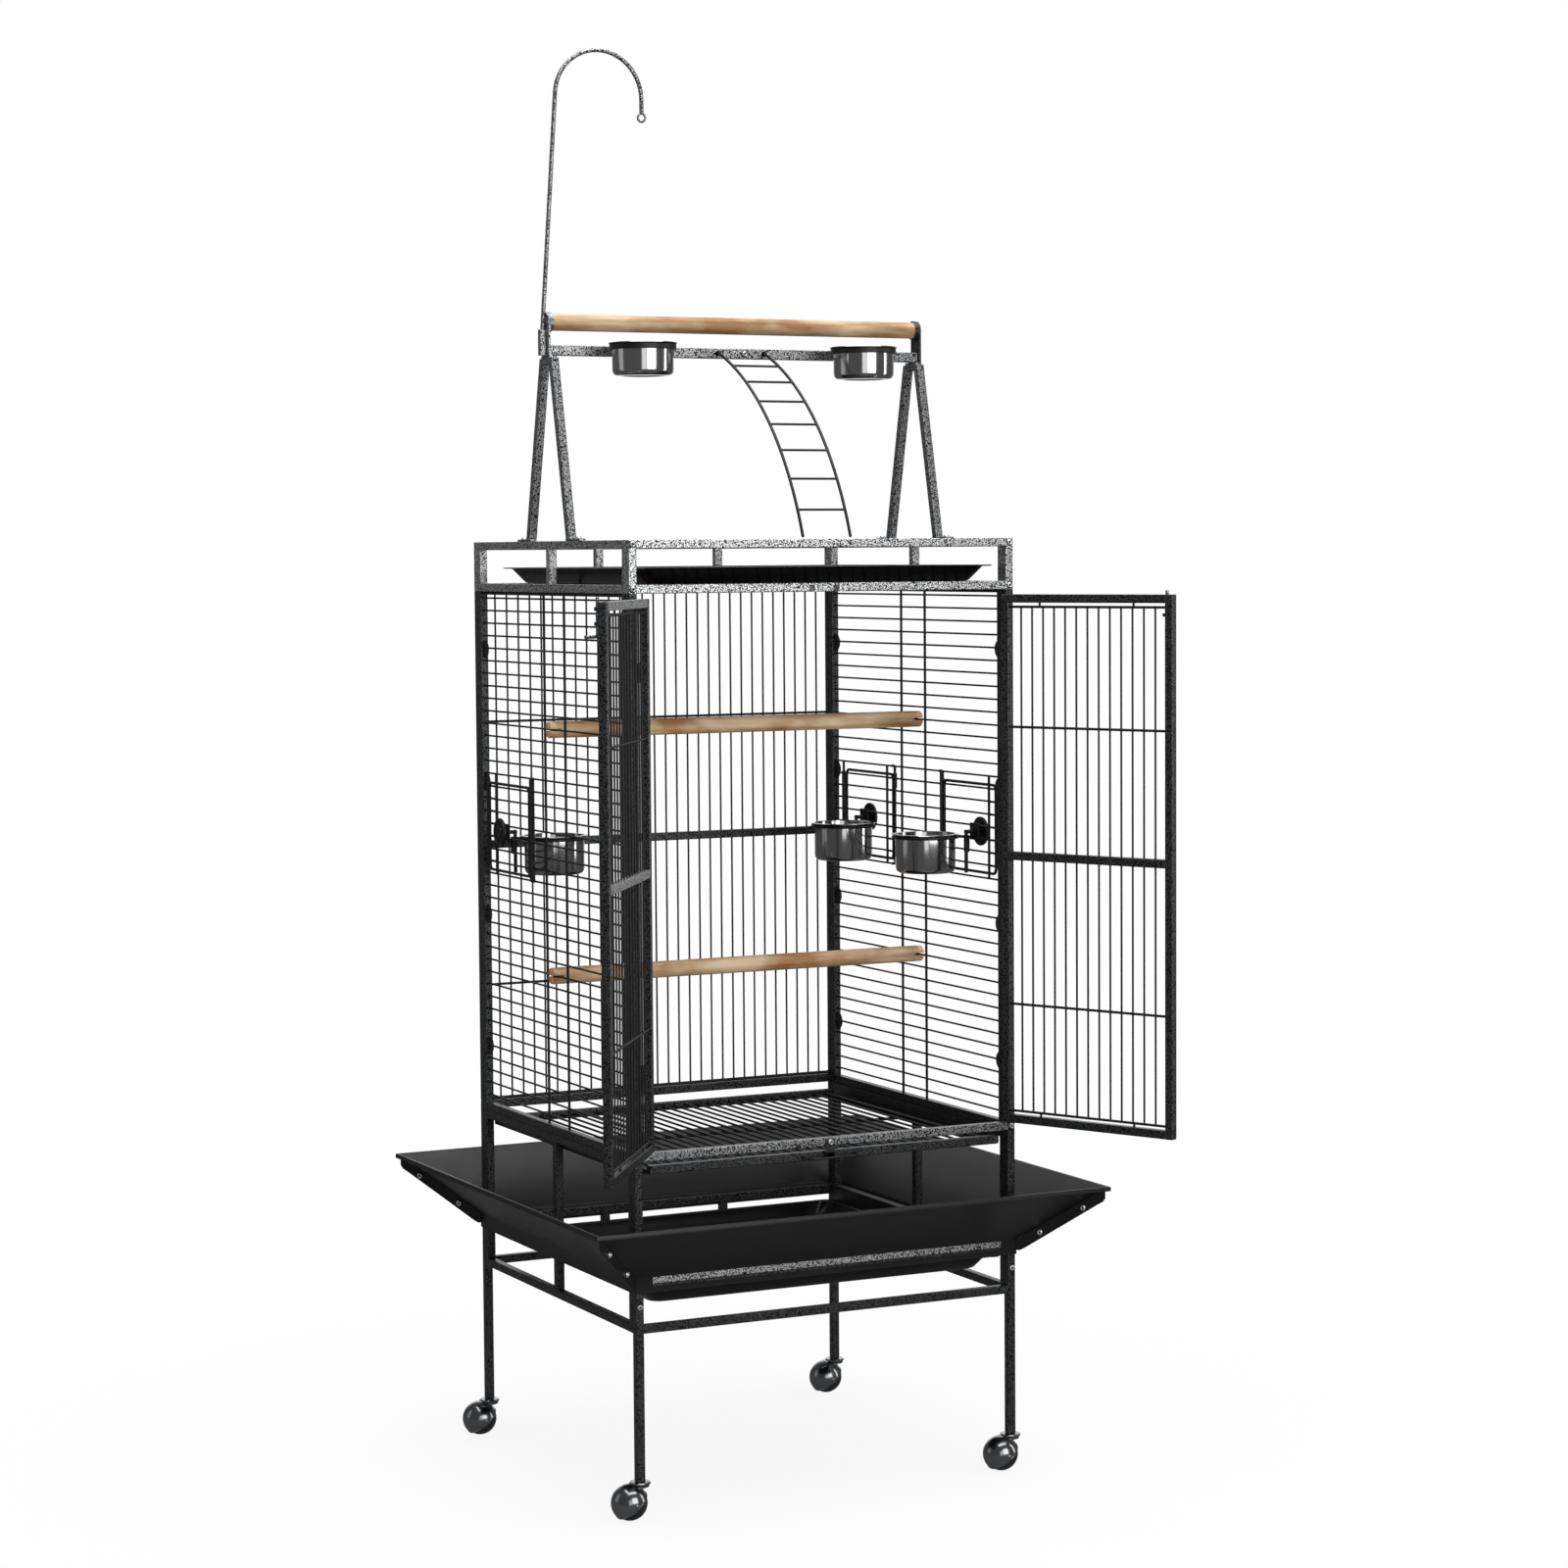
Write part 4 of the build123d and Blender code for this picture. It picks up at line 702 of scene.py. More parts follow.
for name, s in SIDES.items():
    x, run = s * CORNER_X, SIDE_Y - TUBE / 2
    stand, base, top = Shape(), Shape(), Shape()
    for y in (-SIDE_Y, SIDE_Y):
        post(stand, x, y, STAND_LOW, STAND_HIGH + TUBE)
        post(base, x, y, STAND_HIGH + TUBE, BASE_RAIL + WELD)
        post(top, x, y, ROOF_Z, TOP_Z)
    post(stand, x, 0, STAND_LOW + TUBE - WELD, STAND_HIGH + WELD)
    post(base, x, 0, STAND_HIGH + TUBE, BASE_RAIL + WELD)
    post(top, x, 0, ROOF_Z + TUBE - WELD, TOP_Z - TUBE + WELD)
    rail_y(stand, x, STAND_LOW, run)
    rail_y(stand, x, STAND_HIGH, run)
    rail_y(base, x, BASE_RAIL, run + TUBE - WELD)
    rail_y(top, x, ROOF_Z, run)
    rail_y(top, x, TOP_Z - TUBE, run)
    runner(stand, s, *TRAY_RUNNER, STAND_HIGH + TUBE, run - 2)
    runner(base, s, *GRATE_RUNNER, PANEL_Z, run - 2)
    hang_frames(name, stand, base, top, [HAMMER_PAINTED_SHADE])

# %% [markdown]
# ## Side wall tubes
# Each side wall has a frame of tube that is pinned to its neighbours, with round flat lugs up its
# posts where the pins go. A lug could be a flattened cylinder; turning its outline gives it the
# small bevel of a stamped disc.

# %% Side wall tubes
WALL_FRONT, WALL_BACK = -(SIDE_Y - 3.0), SIDE_Y
WALL_LOW, WALL_HIGH = WALL_FRONT + TUBE / 2, WALL_BACK - TUBE / 2
LUG = [(0, -1.25), (13.4, -1.25), (14, -0.7), (14, 0.7), (13.4, 1.25), (0, 1.25)]
LUG_Z, TUCK = 616 + 205.5 * np.arange(4), 2.0

for name, s in SIDES.items():
    tubes = Shape()
    x, sill = s * CORNER_X, PANEL_Z + TUBE / 2
    post(tubes, x, WALL_FRONT, PANEL_Z, ROOF_Z)
    post(tubes, x, WALL_BACK, PANEL_Z, ROOF_Z)
    bar(tubes, (x, WALL_LOW - WELD, sill), (x, WALL_HIGH + WELD, sill))
    for z in LUG_Z:
        for y in (WALL_LOW + TUCK, WALL_HIGH - TUCK):
            lathe(tubes, LUG, (x, y, z), (1, 0, 0), 36)
    hang(tubes, f"{name}_wall_tubes", [HAMMER_PAINTED_SHADE], "cage", f"{name}_panel")

# %% [markdown]
# ## Feeder openings
# A cup is filled from outside through an opening in the wall, which has two edge wires, a wire
# bowed outwards for the feeder door's sleeves and a thick keeper wire on the far side. A hole
# could be cut through a finished wall by a boolean; drawing the edges first tells each wire of
# the wall where to stop.

# %% Feeder openings
LAP, PLANE_OUT, KEEPER_OUT = 3.0, 5.5, 4.0
HINGE_Y, OPEN_IN, OPEN_OUT, KEEPER_Y = 78.0, 88.0, 237.0, 251.0
OPEN_ROWS = range(15, 22)
BELOW, ABOVE = row_z(OPEN_ROWS[-1] + 1), row_z(OPEN_ROWS[0] - 1)


def feeder_edges(wires, x, s, f):
    """Round an opening: two edge wires, a bowed wire for the hinge sleeves and a keeper wire."""
    for y in (OPEN_IN, OPEN_OUT):
        rod(wires, (x - s * LAP, f * y, BELOW), (x - s * LAP, f * y, ABOVE), 4)
    out, y = x + s * PLANE_OUT, f * HINGE_Y
    path = bend([(x, y, BELOW), (out, y, BELOW), (out, y, ABOVE), (x, y, ABOVE)], 2.4)
    sweep(wires, path, circle(2.25), (0, 1, 0))
    keeper, y = x + s * KEEPER_OUT, f * KEEPER_Y
    rod(wires, (keeper, y, row_z(OPEN_ROWS[-1]) - 3), (keeper, y, row_z(OPEN_ROWS[0]) + 3), 6)


print("a feeder opening is", OPEN_OUT - OPEN_IN, "by", round(ABOVE - BELOW, 1), "mm")

# %% [markdown]
# ## Side wall wires
# The wall has 41 level wires, spot welded at a pitch of about three quarters of an inch. An array
# modifier would repeat one wire, but the wires that meet a feeder opening stop at its edge, so
# each row is drawn between its own stops.

# %% Side wall wires
UPRIGHT_Y = 38.5


def wall_wires(name, s, feeders):
    """A level wire per row between its stops, a top wire, two uprights and the openings' edges."""
    x, ends = s * CORNER_X, [WALL_LOW - TUCK, WALL_HIGH + TUCK]
    wires = Shape()
    rod(wires, (x, ends[0], ROOF_Z - 2.5), (x, ends[1], ROOF_Z - 2.5), 5)
    for row in range(ROWS):
        stops = ends
        if row in OPEN_ROWS:
            stops = sorted(ends + [f * y for f in feeders for y in (OPEN_IN, OPEN_OUT)])
        for a, b in zip(stops[::2], stops[1::2]):
            rod(wires, (x, a, row_z(row)), (x, b, row_z(row)), WIRE, 10)
    for y in (-UPRIGHT_Y, UPRIGHT_Y):
        rod(wires, (x - s * LAP, y, FLOOR_Z - 3), (x - s * LAP, y, ROOF_Z - 0.5), 4)
    for f in feeders:
        feeder_edges(wires, x, s, f)
    hang(wires, f"{name}_wall_wires", [WIRE_BLACK], "cage")


wall_wires("left", -1, [1])
wall_wires("right", 1, [1, -1])

# %% [markdown]
# ## Back wall
# The back wall has thirty upright wires, one middle rail and two thin cross wires. The upright
# wires' places are kept in a list that the roof uses too, so that roof and wall line up, as they
# do on a cage made on one welding jig. Instances of one wire would save memory, but a single mesh
# per wall exports as one piece.

# %% Back wall
UPRIGHTS = (np.arange(30) - 14.5) * 19.25
EDGE_LOW, EDGE_HIGH = FLOOR_Z + 2.8, ROOF_Z - 2.8
tubes, wires = Shape(), Shape()
for x in (-CORNER_X, CORNER_X):
    post(tubes, x, CORNER_Y, FLOOR_Z, ROOF_Z)
rail_x(tubes, CORNER_Y, MID_RAIL - TUBE / 2, INNER_X)
end = INNER_X + 3
for z in (EDGE_LOW, EDGE_HIGH):
    rod(wires, (-end, CORNER_Y, z), (end, CORNER_Y, z), 5)
for z in (CROSS_LOW, CROSS_HIGH):
    rod(wires, (-end, CORNER_Y + LAP, z), (end, CORNER_Y + LAP, z), 4)
for x in UPRIGHTS:
    rod(wires, (x, CORNER_Y, EDGE_LOW), (x, CORNER_Y, EDGE_HIGH), WIRE, 10)
hang(tubes, "back_wall_tubes", [HAMMER_PAINTED_SHADE], "cage", "back_panel")
hang(wires, "back_wall_wires", [WIRE_BLACK], "cage")

# %% [markdown]
# ## Roof grille
# The roof is a grille of the same wire, on which the play-top tray lies. A plane with a Wireframe
# modifier would make a grille whose wires cross in one plane; welded wires lie on each other, so
# the long ones are drawn above the edge wires.

# %% Roof
GRILLE_X, GRILLE_Y, GRILLE_LOW, GRILLE_HIGH = 295.7, 280.2, 1329.0, 1332.5
roof = Shape()
for x in (-GRILLE_X, GRILLE_X):
    rod(roof, (x, -INNER_Y + 0.3, GRILLE_LOW), (x, INNER_Y - 0.3, GRILLE_LOW), 5)
for y in (-GRILLE_Y, 0, GRILLE_Y):
    rod(roof, (-GRILLE_X, y, GRILLE_LOW), (GRILLE_X, y, GRILLE_LOW), 4.5)
for x in UPRIGHTS:
    rod(roof, (x, -GRILLE_Y, GRILLE_HIGH), (x, GRILLE_Y, GRILLE_HIGH), WIRE, 10)
hang(roof, "roof_wires", [WIRE_BLACK], "cage", "roof_grille")

# %% [markdown]
# ## Seed skirts
# A skirt is a folded steel sheet that catches seed: an upright lip, a slope and a rolled rim. Its
# ends are cut at 45 degrees, where a flange under the slope takes two bolts. Extruding a profile
# and cutting it with two planes would do; here the profile is simply carried further the further
# out each of its points lies, which makes the mitre exact with no cut.

# %% Skirt outlines
SKIRT_TOP = [(0.2, 327), (0.2, 346), (0.6, 349.2), (2.4, 351.9), (50, 393.1), (98.4, 434.7), (99.8, 435.6),
             (101.4, 436.0), (103.2, 435.6), (104.0, 434.2), (104.0, 429)]
SKIRT_UNDER = [(102.8, 429), (102.8, 433.6), (101.4, 434.6), (99.6, 433.9), (50.6, 391.7), (2.2, 350.0),
               (1.4, 348.2), (1.4, 327)]
SKIRT_FOLD = np.array(SKIRT_TOP + SKIRT_UNDER)
FLANGE = [(2.0, 349.0), (98.0, 432.2), (98.0, 418), (95.5, 412.5), (90.0, 408.0), (10.0, 336.5),
          (5.0, 333.0), (2.0, 333.5)]
UP = np.array([0, 0, 1.0])
print("skirt reaches out", SKIRT_FOLD[:, 0].max(), "mm and up to", SKIRT_FOLD[:, 1].max(), "mm")

# %% [markdown]
# ## Skirt flanges
# Under each end of a skirt a flange meets the next skirt's flange along the mitre, and two bolts
# join them. It could be folded out of the sheet's own edge. Cut as a plate with its two holes and
# set along the mitre line, it shows the same edge and leaves the sheet a plain grid.

# %% Skirt flanges
SKIRT_BOLTS, SHEET, MITRE_GAP = (27.0, 74.0), 1.2, 0.1


def bolt_height(reach):
    """Height of a skirt bolt above the floor: a fixed one plus 0.86 times its reach."""
    return 339 + 0.86 * reach


def flange(sheet, along, out, half_run, half_cross, side):
    """The flange outline with an oval hole at each bolt, set along the mitre at one end."""
    holes = [circle(1) * (1.45, 2.05) + (at, bolt_height(at)) for at in SKIRT_BOLTS]

    def place(p, w):
        """Along times (half run plus reach less w), plus out times reach, plus height."""
        run = side * (half_run + p[:, :1] - MITRE_GAP - w * math.sqrt(2))
        return along * run + out * (half_cross + p[:, :1]) + UP * p[:, 1:]

    plate(sheet, FLANGE, holes, place, SHEET)


print("skirt bolts at heights", [round(bolt_height(at), 1) for at in SKIRT_BOLTS], "mm")

# %% [markdown]
# ## Skirt sheets
# The four skirts are one fold at two lengths, turned round the cage. A mirror modifier would make
# one from another, but it turns faces inside out; two directions, along the side and out from it,
# place the same outline on each side. The front one has two thin strips in the frame's coat,
# because the front shows the stand's rail there and not the skirt's lip; the upper strip is the
# coat's painted highlight and the lower its painted shade.

# %% Skirts
STRIP_X, STRIP_Y = 285.0, (-HALF_D - 1.7, -HALF_D - 1.2)
# Upper strip in the painted-highlight tone, lower strip in the painted-shade tone: the rail's lit top and
# shaded face.
STRIP_Z = {1: (STAND_HIGH + 6.8, STAND_HIGH + 15.8), 2: (STAND_HIGH + 2.6, STAND_HIGH + 6.8)}


def skirt(name, along, out, half_run, half_cross):
    """Along times (half run plus reach) times -1 to 1, plus out times reach, plus height."""
    along, out = np.array(along, float), np.array(out, float)
    sheet, coats = Shape(), [SKIRT]
    reach, height = SKIRT_FOLD.T
    ends = half_run + reach - MITRE_GAP
    grid = (along * (ends[:, None] * np.linspace(-1, 1, 25))[..., None]
            + out * (half_cross + reach)[:, None, None] + UP * height[:, None, None])
    sheet.patch(grid, wrap_u=True)
    sheet.cap(grid[::-1, 0])
    sheet.cap(grid[:, -1])
    for side in (-1, 1):
        flange(sheet, along, out, half_run, half_cross, side)
    if name == "front":
        coats += [HAMMER_PAINTED_LIT, HAMMER_PAINTED_SHADE]
        for mark, heights in STRIP_Z.items():
            box(sheet, (-STRIP_X, STRIP_X), STRIP_Y, heights, 0.2, mark)
    hang(sheet, f"skirt_{name}_sheet", coats, "cage", f"skirt_{name}")


skirt("front", (-1, 0, 0), (0, -1, 0), HALF_W, HALF_D)
skirt("back", (1, 0, 0), (0, 1, 0), HALF_W, HALF_D)
skirt("left", (0, 1, 0), (-1, 0, 0), HALF_D, HALF_W)
skirt("right", (0, -1, 0), (1, 0, 0), HALF_D, HALF_W)

# %% [markdown]
# ## Trays
# The two trays are formed from one sheet of plastic over a mould, so nothing on them is sharp: a
# rolled lip, sloped sides and a soft corner at the floor. A box with bevels comes near, but its
# corners can't be wider at the lip than at the floor. A loft can: each ring is a rounded
# rectangle with its own inset, height and corner, and the surface runs from ring to ring.

# %% Trays
TRAY_WIDE, TRAY_FRONT = 584.0, -280.0


def tray(name, length, depth, slope, floor):
    """Rings of rounded rectangles, from the underside over the lip and down to the inner floor."""
    middle, lip = TRAY_FRONT + length / 2, floor + depth
    # Each ring's inset from the lip's edge, its height and the radius of its corners.
    steps = [(slope + 14, floor, 14), (slope + 2, floor, 18), (slope - 1.5, floor + 1.6, 19),
             (11.2, lip - 4.0, 20), (10.0, lip - 2.4, 19), (1.4, lip - 2.0, 18), (0.3, lip - 1.5, 18),
             (0.0, lip - 0.8, 18), (0.4, lip - 0.2, 18), (1.4, lip, 18), (10.4, lip, 18),
             (11.6, lip - 0.7, 18), (12.4, lip - 2.6, 18), (slope + 0.4, floor + 4.4, 18),
             (slope + 2.6, floor + 2.6, 18), (slope + 5.0, floor + 2.0, 17), (slope + 20, floor + 2.0, 14)]
    rings = []
    for inset, z, corner in steps:
        flat = rounded(TRAY_WIDE - 2 * inset, length - 2 * inset, corner, 8)
        rings.append(np.column_stack([flat[:, 0], flat[:, 1] + middle, np.full(len(flat), z)]))
    pan = Shape()
    pan.solid(np.array(rings))
    hang(pan, f"{name}_moulding", [TRAY], name, name)


tray("top_tray", 516, 24, 27, 1334.3)
tray("bottom_tray", 550, 21, 24, 303)

# %% [markdown]
# ## Floor grate
# The bird stands on a grate, which slides out to the front on its runners. Its bars run from a
# square tube at the front to one at the back, over a cross rod and between two side rods. A grid
# with a Wireframe modifier would give bars of one thickness only; here each bar is a rod of its
# own size at its own height.

# %% Grate bars
GRATE_FRONT, GRATE_BACK, GRATE_X, GRATE_MID = -290.5, 259.5, 281.5, 501.05
GRATE_ROD_Z, GRATE_BAR_Z, GRATE_BARS, GRATE_PITCH = 497.8, 501.55, 29, 19.2
grate = Shape()
tube_y = GRATE_FRONT + TUBE / 2, GRATE_BACK - TUBE / 2
for y in tube_y:
    # The grate's tubes and its tab take the coat's painted-shade tone.
    bar(grate, (-GRATE_X - 3, y, GRATE_MID), (GRATE_X + 3, y, GRATE_MID), mark=1)
for x in (-GRATE_X, GRATE_X):
    rod(grate, (x, GRATE_FRONT + 6, GRATE_ROD_Z), (x, GRATE_BACK, GRATE_ROD_Z), 6)
middle = (GRATE_FRONT + GRATE_BACK) / 2
rod(grate, (-GRATE_X, middle, GRATE_ROD_Z), (GRATE_X, middle, GRATE_ROD_Z), 5)
for x in (np.arange(GRATE_BARS) - GRATE_BARS // 2) * GRATE_PITCH:
    rod(grate, (x, GRATE_FRONT + 6, GRATE_BAR_Z), (x, GRATE_BACK - 3.5, GRATE_BAR_Z), 3.5, 10)
print("grate:", GRATE_BARS, "bars at", GRATE_PITCH, "mm, tubes at y", tube_y)

# %% [markdown]
# ## Grate pull and lock screw
# The front tube of the grate has a bent wire pull and a tab with a screw that locks it. The pull
# could be a curve object with rounded handles, but it would have to be turned into faces for the
# export, so its path has true arcs. The screw is turned in one outline, head and shank together,
# and the same outline serves for all bolts of the cage.

# %% Grate pull and lock screw
# The socket's floor and the thin ring under the head are the rows that take painted shade.
DOME = [(0, 1.7), (1.5, 1.7), (1.9, 2.4), (2.6, 3.0), (3.6, 2.7), (4.4, 1.7), (4.75, 0.6),
        (4.75, 0.15), (5.5, 0.12), (5.5, 0)]
TAB_X, TAB_FRONT, TAB_LOW, SCREW_Z = (-7, 7), -298.0, 495.8, 520.75
PULL_X, PULL_FRONT = 42.0, -316.5


def bolt(shape, at, axis, length, radius, head, socket):
    """A domed head and its shank, turned; socket and foot line take painted shade."""
    shank = [(radius, 0), (radius, -length), (0, -length)]
    marks = [socket] + [head] * 6 + [socket] * 2 + [head] * 3
    lathe(shape, DOME + shank, at, axis, 24, marks)


back = GRATE_FRONT + 0.5
box(grate, TAB_X, (TAB_FRONT, back), (TAB_LOW, 506.3), mark=1)
box(grate, TAB_X, (TAB_FRONT, TAB_FRONT + 2), (TAB_LOW, 525.8), mark=1)
pull = [(-PULL_X, back), (-PULL_X, PULL_FRONT), (PULL_X, PULL_FRONT), (PULL_X, back)]
sweep(grate, bend([(x, y, GRATE_MID) for x, y in pull], 10.5), circle(1.75))
bolt(grate, (0, TAB_FRONT, SCREW_Z), (0, -1, 0), 13, 2.3, 2, 3)
hang(grate, "floor_grate", [WIRE_BLACK, HAMMER_PAINTED_SHADE, ZINC, RECESS_SHADE], "grate", "grate")

# %% [markdown]
# ## Front doors
# Two doors stand open, each hung on two barrels at the front posts. A leaf could be modelled as it
# stands, but its lines would then be slanted numbers that nobody can read. So each door is built
# flat along its own X axis, and one turn about its hinge pins puts all of its points at the angle
# at which the door stands.

# %% Door turn
DOOR_LOW, DOOR_HIGH, DOOR_SPAN, STILE_X = 530.0, 1314.5, PIN_X - 1.5, 6.65
LEAF_BACK = -PIN_Y - CORNER_Y
DOOR_OPEN = {"left": 125.3, "right": 115.5}


def door_turn(s, angle):
    """Maps door points to the cage: x along the leaf from its pins, y across it, z up."""
    a = math.radians(angle)
    along = np.array([-s * math.cos(a), -math.sin(a), 0])
    over = np.cross((0, 0, 1), along)
    first = np.array([s * (PIN_X - LEAF_BACK * math.sin(a)), PIN_Y + LEAF_BACK * math.cos(a), 0])
    return lambda p: first + p[:, :1] * along + p[:, 1:2] * over + p[:, 2:] * UP


print("doors", DOOR_SPAN, "mm wide and", DOOR_HIGH - DOOR_LOW, "mm high, open by", DOOR_OPEN, "degrees")

# %% [markdown]
# ## Door leaves
# A leaf is a frame of tube with a middle rail, the upper barrel of each hinge and two guides
# for a bolt. A Bevel modifier could round its edges, but would round the welds too; the
# tubes bring their own edges, and guides and barrels are turned rings.

# %% Door leaves
NEAR, FAR = STILE_X + TUBE / 2, DOOR_SPAN - TUBE
LATCH_X, LATCH_Y, STRAP_Y = PIN_X - 20.0, 10.25, TUBE / 2 - 0.5
GUIDE_Z, GUIDE_H = (1282.5, 1302.5), 5.0
GUIDE = [(4.6, 0), (4.6, GUIDE_H), (2.55, GUIDE_H), (2.55, 0), (4.6, 0)]
for name, s in SIDES.items():
    leaf, node = Shape(), f"{name}_door"
    post(leaf, STILE_X, 0, DOOR_LOW, DOOR_HIGH)
    post(leaf, DOOR_SPAN - TUBE / 2, 0, DOOR_LOW, DOOR_HIGH)
    for z, mark in ((DOOR_LOW + TUBE / 2, 0), (MID_RAIL, 1), (DOOR_HIGH - TUBE / 2, 1)):
        bar(leaf, (NEAR - WELD, 0, z), (FAR + WELD, 0, z), mark=mark)
    for z in BARREL_Z:
        low = z + 0.3
        lathe(leaf, BARREL, (0, s * LEAF_BACK, low), count=20)
        box(leaf, (0.8, 6), sorted((s * STRAP_Y, s * LEAF_BACK)), (low, low + BARREL_H))
    for z in GUIDE_Z:
        box(leaf, (LATCH_X - 5, DOOR_SPAN - TUBE / 2), sorted((s * STRAP_Y, s * 7.6)), (z, z + GUIDE_H))
        lathe(leaf, GUIDE, (LATCH_X, s * LATCH_Y, z), count=24)
    # The left door's middle and top rails face the light and take the painted-highlight tone, the right
    # door's the painted-shade tone; stiles and bottom rails stay in painted shade.
    rails = HAMMER_PAINTED_LIT if s < 0 else HAMMER_PAINTED_SHADE
    turn = door_turn(s, DOOR_OPEN[name])
    hang(leaf, f"{node}_tubes", [HAMMER_PAINTED_SHADE, rails], node, node, turn)

# %% [markdown]
# ## Door wires and bolts
# Thirteen upright wires fill a leaf, with four cross wires behind them, and a bolt of bent rod
# slides in the guides. The bolt could share the leaf's mesh, but then it could not slide, so it is
# a piece on a body of its own.

# %% Door wires and bolts
CROSS_FOOT, CROSS_HEAD = DOOR_LOW + TUBE + 6, DOOR_HIGH - TUBE - 6
BOLT_TOP, BOLT_FOOT, BOLT_GRIP = 1320.6, 1267.5, 28.25
for name, s in SIDES.items():
    turn = door_turn(s, DOOR_OPEN[name])
    lattice, latch, y = Shape(), Shape(), -s * LAP
    for z in (CROSS_FOOT, CROSS_LOW, CROSS_HIGH, CROSS_HEAD):
        rod(lattice, (NEAR - 3, y, z), (FAR + 3, y, z), 4)
    for x in np.linspace(NEAR, FAR, 15)[1:-1]:
        rod(lattice, (x, 0, CROSS_FOOT - 2), (x, 0, CROSS_HEAD + 2), WIRE, 10)
    for share in (0.2, 0.8):
        x = NEAR + share * (FAR - NEAR)
        rod(lattice, (x, y, CROSS_FOOT), (x, y, DOOR_LOW + TUBE - 0.5), 3.5)
        rod(lattice, (x, y, CROSS_HEAD), (x, y, DOOR_HIGH - TUBE + 0.5), 3.5)
    stops = [(s * LATCH_Y, BOLT_TOP), (s * LATCH_Y, BOLT_FOOT), (s * BOLT_GRIP, BOLT_FOOT)]
    sweep(latch, bend([(LATCH_X, *at) for at in stops], 4.5), circle(2.5), (1, 0, 0), ease=0.5)
    node = f"{name}_latch_bolt"
    hang(lattice, f"{name}_door_wires", [WIRE_BLACK], f"{name}_door", turn=turn)
    hang(latch, f"{name}_latch_pin", [HAMMER_PAINTED_HALF_SHADE], node, node, turn)

# %% [markdown]
# ## Steel cups
# Five cups of drawn stainless steel hang in rings: a rolled rim, upright sides, a rounded foot and
# a floor pressed up a little. A cylinder with a Solidify modifier would have walls but no rim and
# no foot. One outline of the whole wall, up the outside and down the inside, is turned instead,
# and its small radii are what draws the bright lines along rim and foot.

# %% Cups
FEED_CUP, FEED_RIM = np.array([248.0, 136.0]), 951.0


def cup(name, centre, rim, depth):
    """Outside from floor to rim, round the rolled bead and down the inside, turned about Z."""
    foot = rim - depth
    outer = [(0, foot + 1.6), (30, foot + 1.6), (33, foot + 0.4), (36, foot), (39.5, foot + 0.4),
             (42.6, foot + 1.9), (44.8, foot + 4.6), (45.7, foot + 8.4), (46, rim - 6), (46.0, rim - 2.4)]
    bead = [(46.5, rim - 2.2), (49.2, rim - 2.2), (50.6, rim - 1.7), (51, rim - 1.0), (50.6, rim - 0.3),
            (49.2, rim), (46.6, rim), (45.2, rim - 0.7)]
    inner = [(44.8, rim - 2.4), (44.8, foot + 9), (43.6, foot + 5.2), (41, foot + 3.2), (37, foot + 2.8),
             (0, foot + 2.8)]
    shape = Shape()
    lathe(shape, outer + bead + inner, (*centre, 0), count=96)
    hang(shape, f"{name}_steel", [STEEL], name, name)


for name, sides in FEEDERS.items():
    cup(f"{name}_feeder_cup", FEED_CUP * sides, FEED_RIM, 59.5)

# %% [markdown]
# ## Feeder doors
# Each feeder door is a bent wire loop with cross wires, hung on the wall by two rolled sleeves,
# with a small plate that bears the lock. The loop could be a Bezier circle with a bevel; here its
# corners are true arcs, as a wire bender makes them.

# %% Feeder doors
LOCK_Y, LOCK_Z, FREE_Y = 180.0, (row_z(18) + row_z(19)) / 2, 243.0
FEED_LOW, FEED_HIGH = BELOW + 7.0, row_z(OPEN_ROWS[0]) + 5.5
LOOP_WIRE, BEARING, ROLL_H = 4.5, 13.0, 24.0
ROLLED = [(3.6, 0.3), (3.6, ROLL_H - 0.3), (3.3, ROLL_H), (2.3, ROLL_H), (2.3, 0), (3.3, 0), (3.6, 0.3)]
for name, (s, f) in FEEDERS.items():
    door, node = Shape(), f"{name}_feeder_door"
    x, near, far = s * (CORNER_X + PLANE_OUT), f * (HINGE_Y + 5.35), f * FREE_Y
    corners = [(x, near, FEED_LOW), (x, far, FEED_LOW), (x, far, FEED_HIGH), (x, near, FEED_HIGH)]
    loop(door, corners, 8.0, LOOP_WIRE, (1, 0, 0))
    wire_x, lock_y = x - s * WIRE / 2, f * LOCK_Y
    for row in OPEN_ROWS:
        rod(door, (wire_x, near, row_z(row)), (wire_x, far, row_z(row)), WIRE, 10)
    for z in (FEED_LOW - LOOP_WIRE / 2, FEED_HIGH + LOOP_WIRE / 2 - ROLL_H):
        lathe(door, ROLLED, (x, f * HINGE_Y, z), count=24)
    box(door, (wire_x - 1, wire_x + 1), (lock_y - BEARING, lock_y + BEARING),
        (LOCK_Z - BEARING, LOCK_Z + BEARING))
    hang(door, f"{name}_feeder_wires", [WIRE_BLACK], node, node)

# %% [markdown]
# ## Turn locks
# A moulded disc outside turns a tongue inside, which locks the feeder door. Its face has a raised
# rim, a hub and eight ribs for the fingers. A cylinder with insets would do for rim and hub; one
# turned outline gives both at once, and each rib is a short rod laid on it.

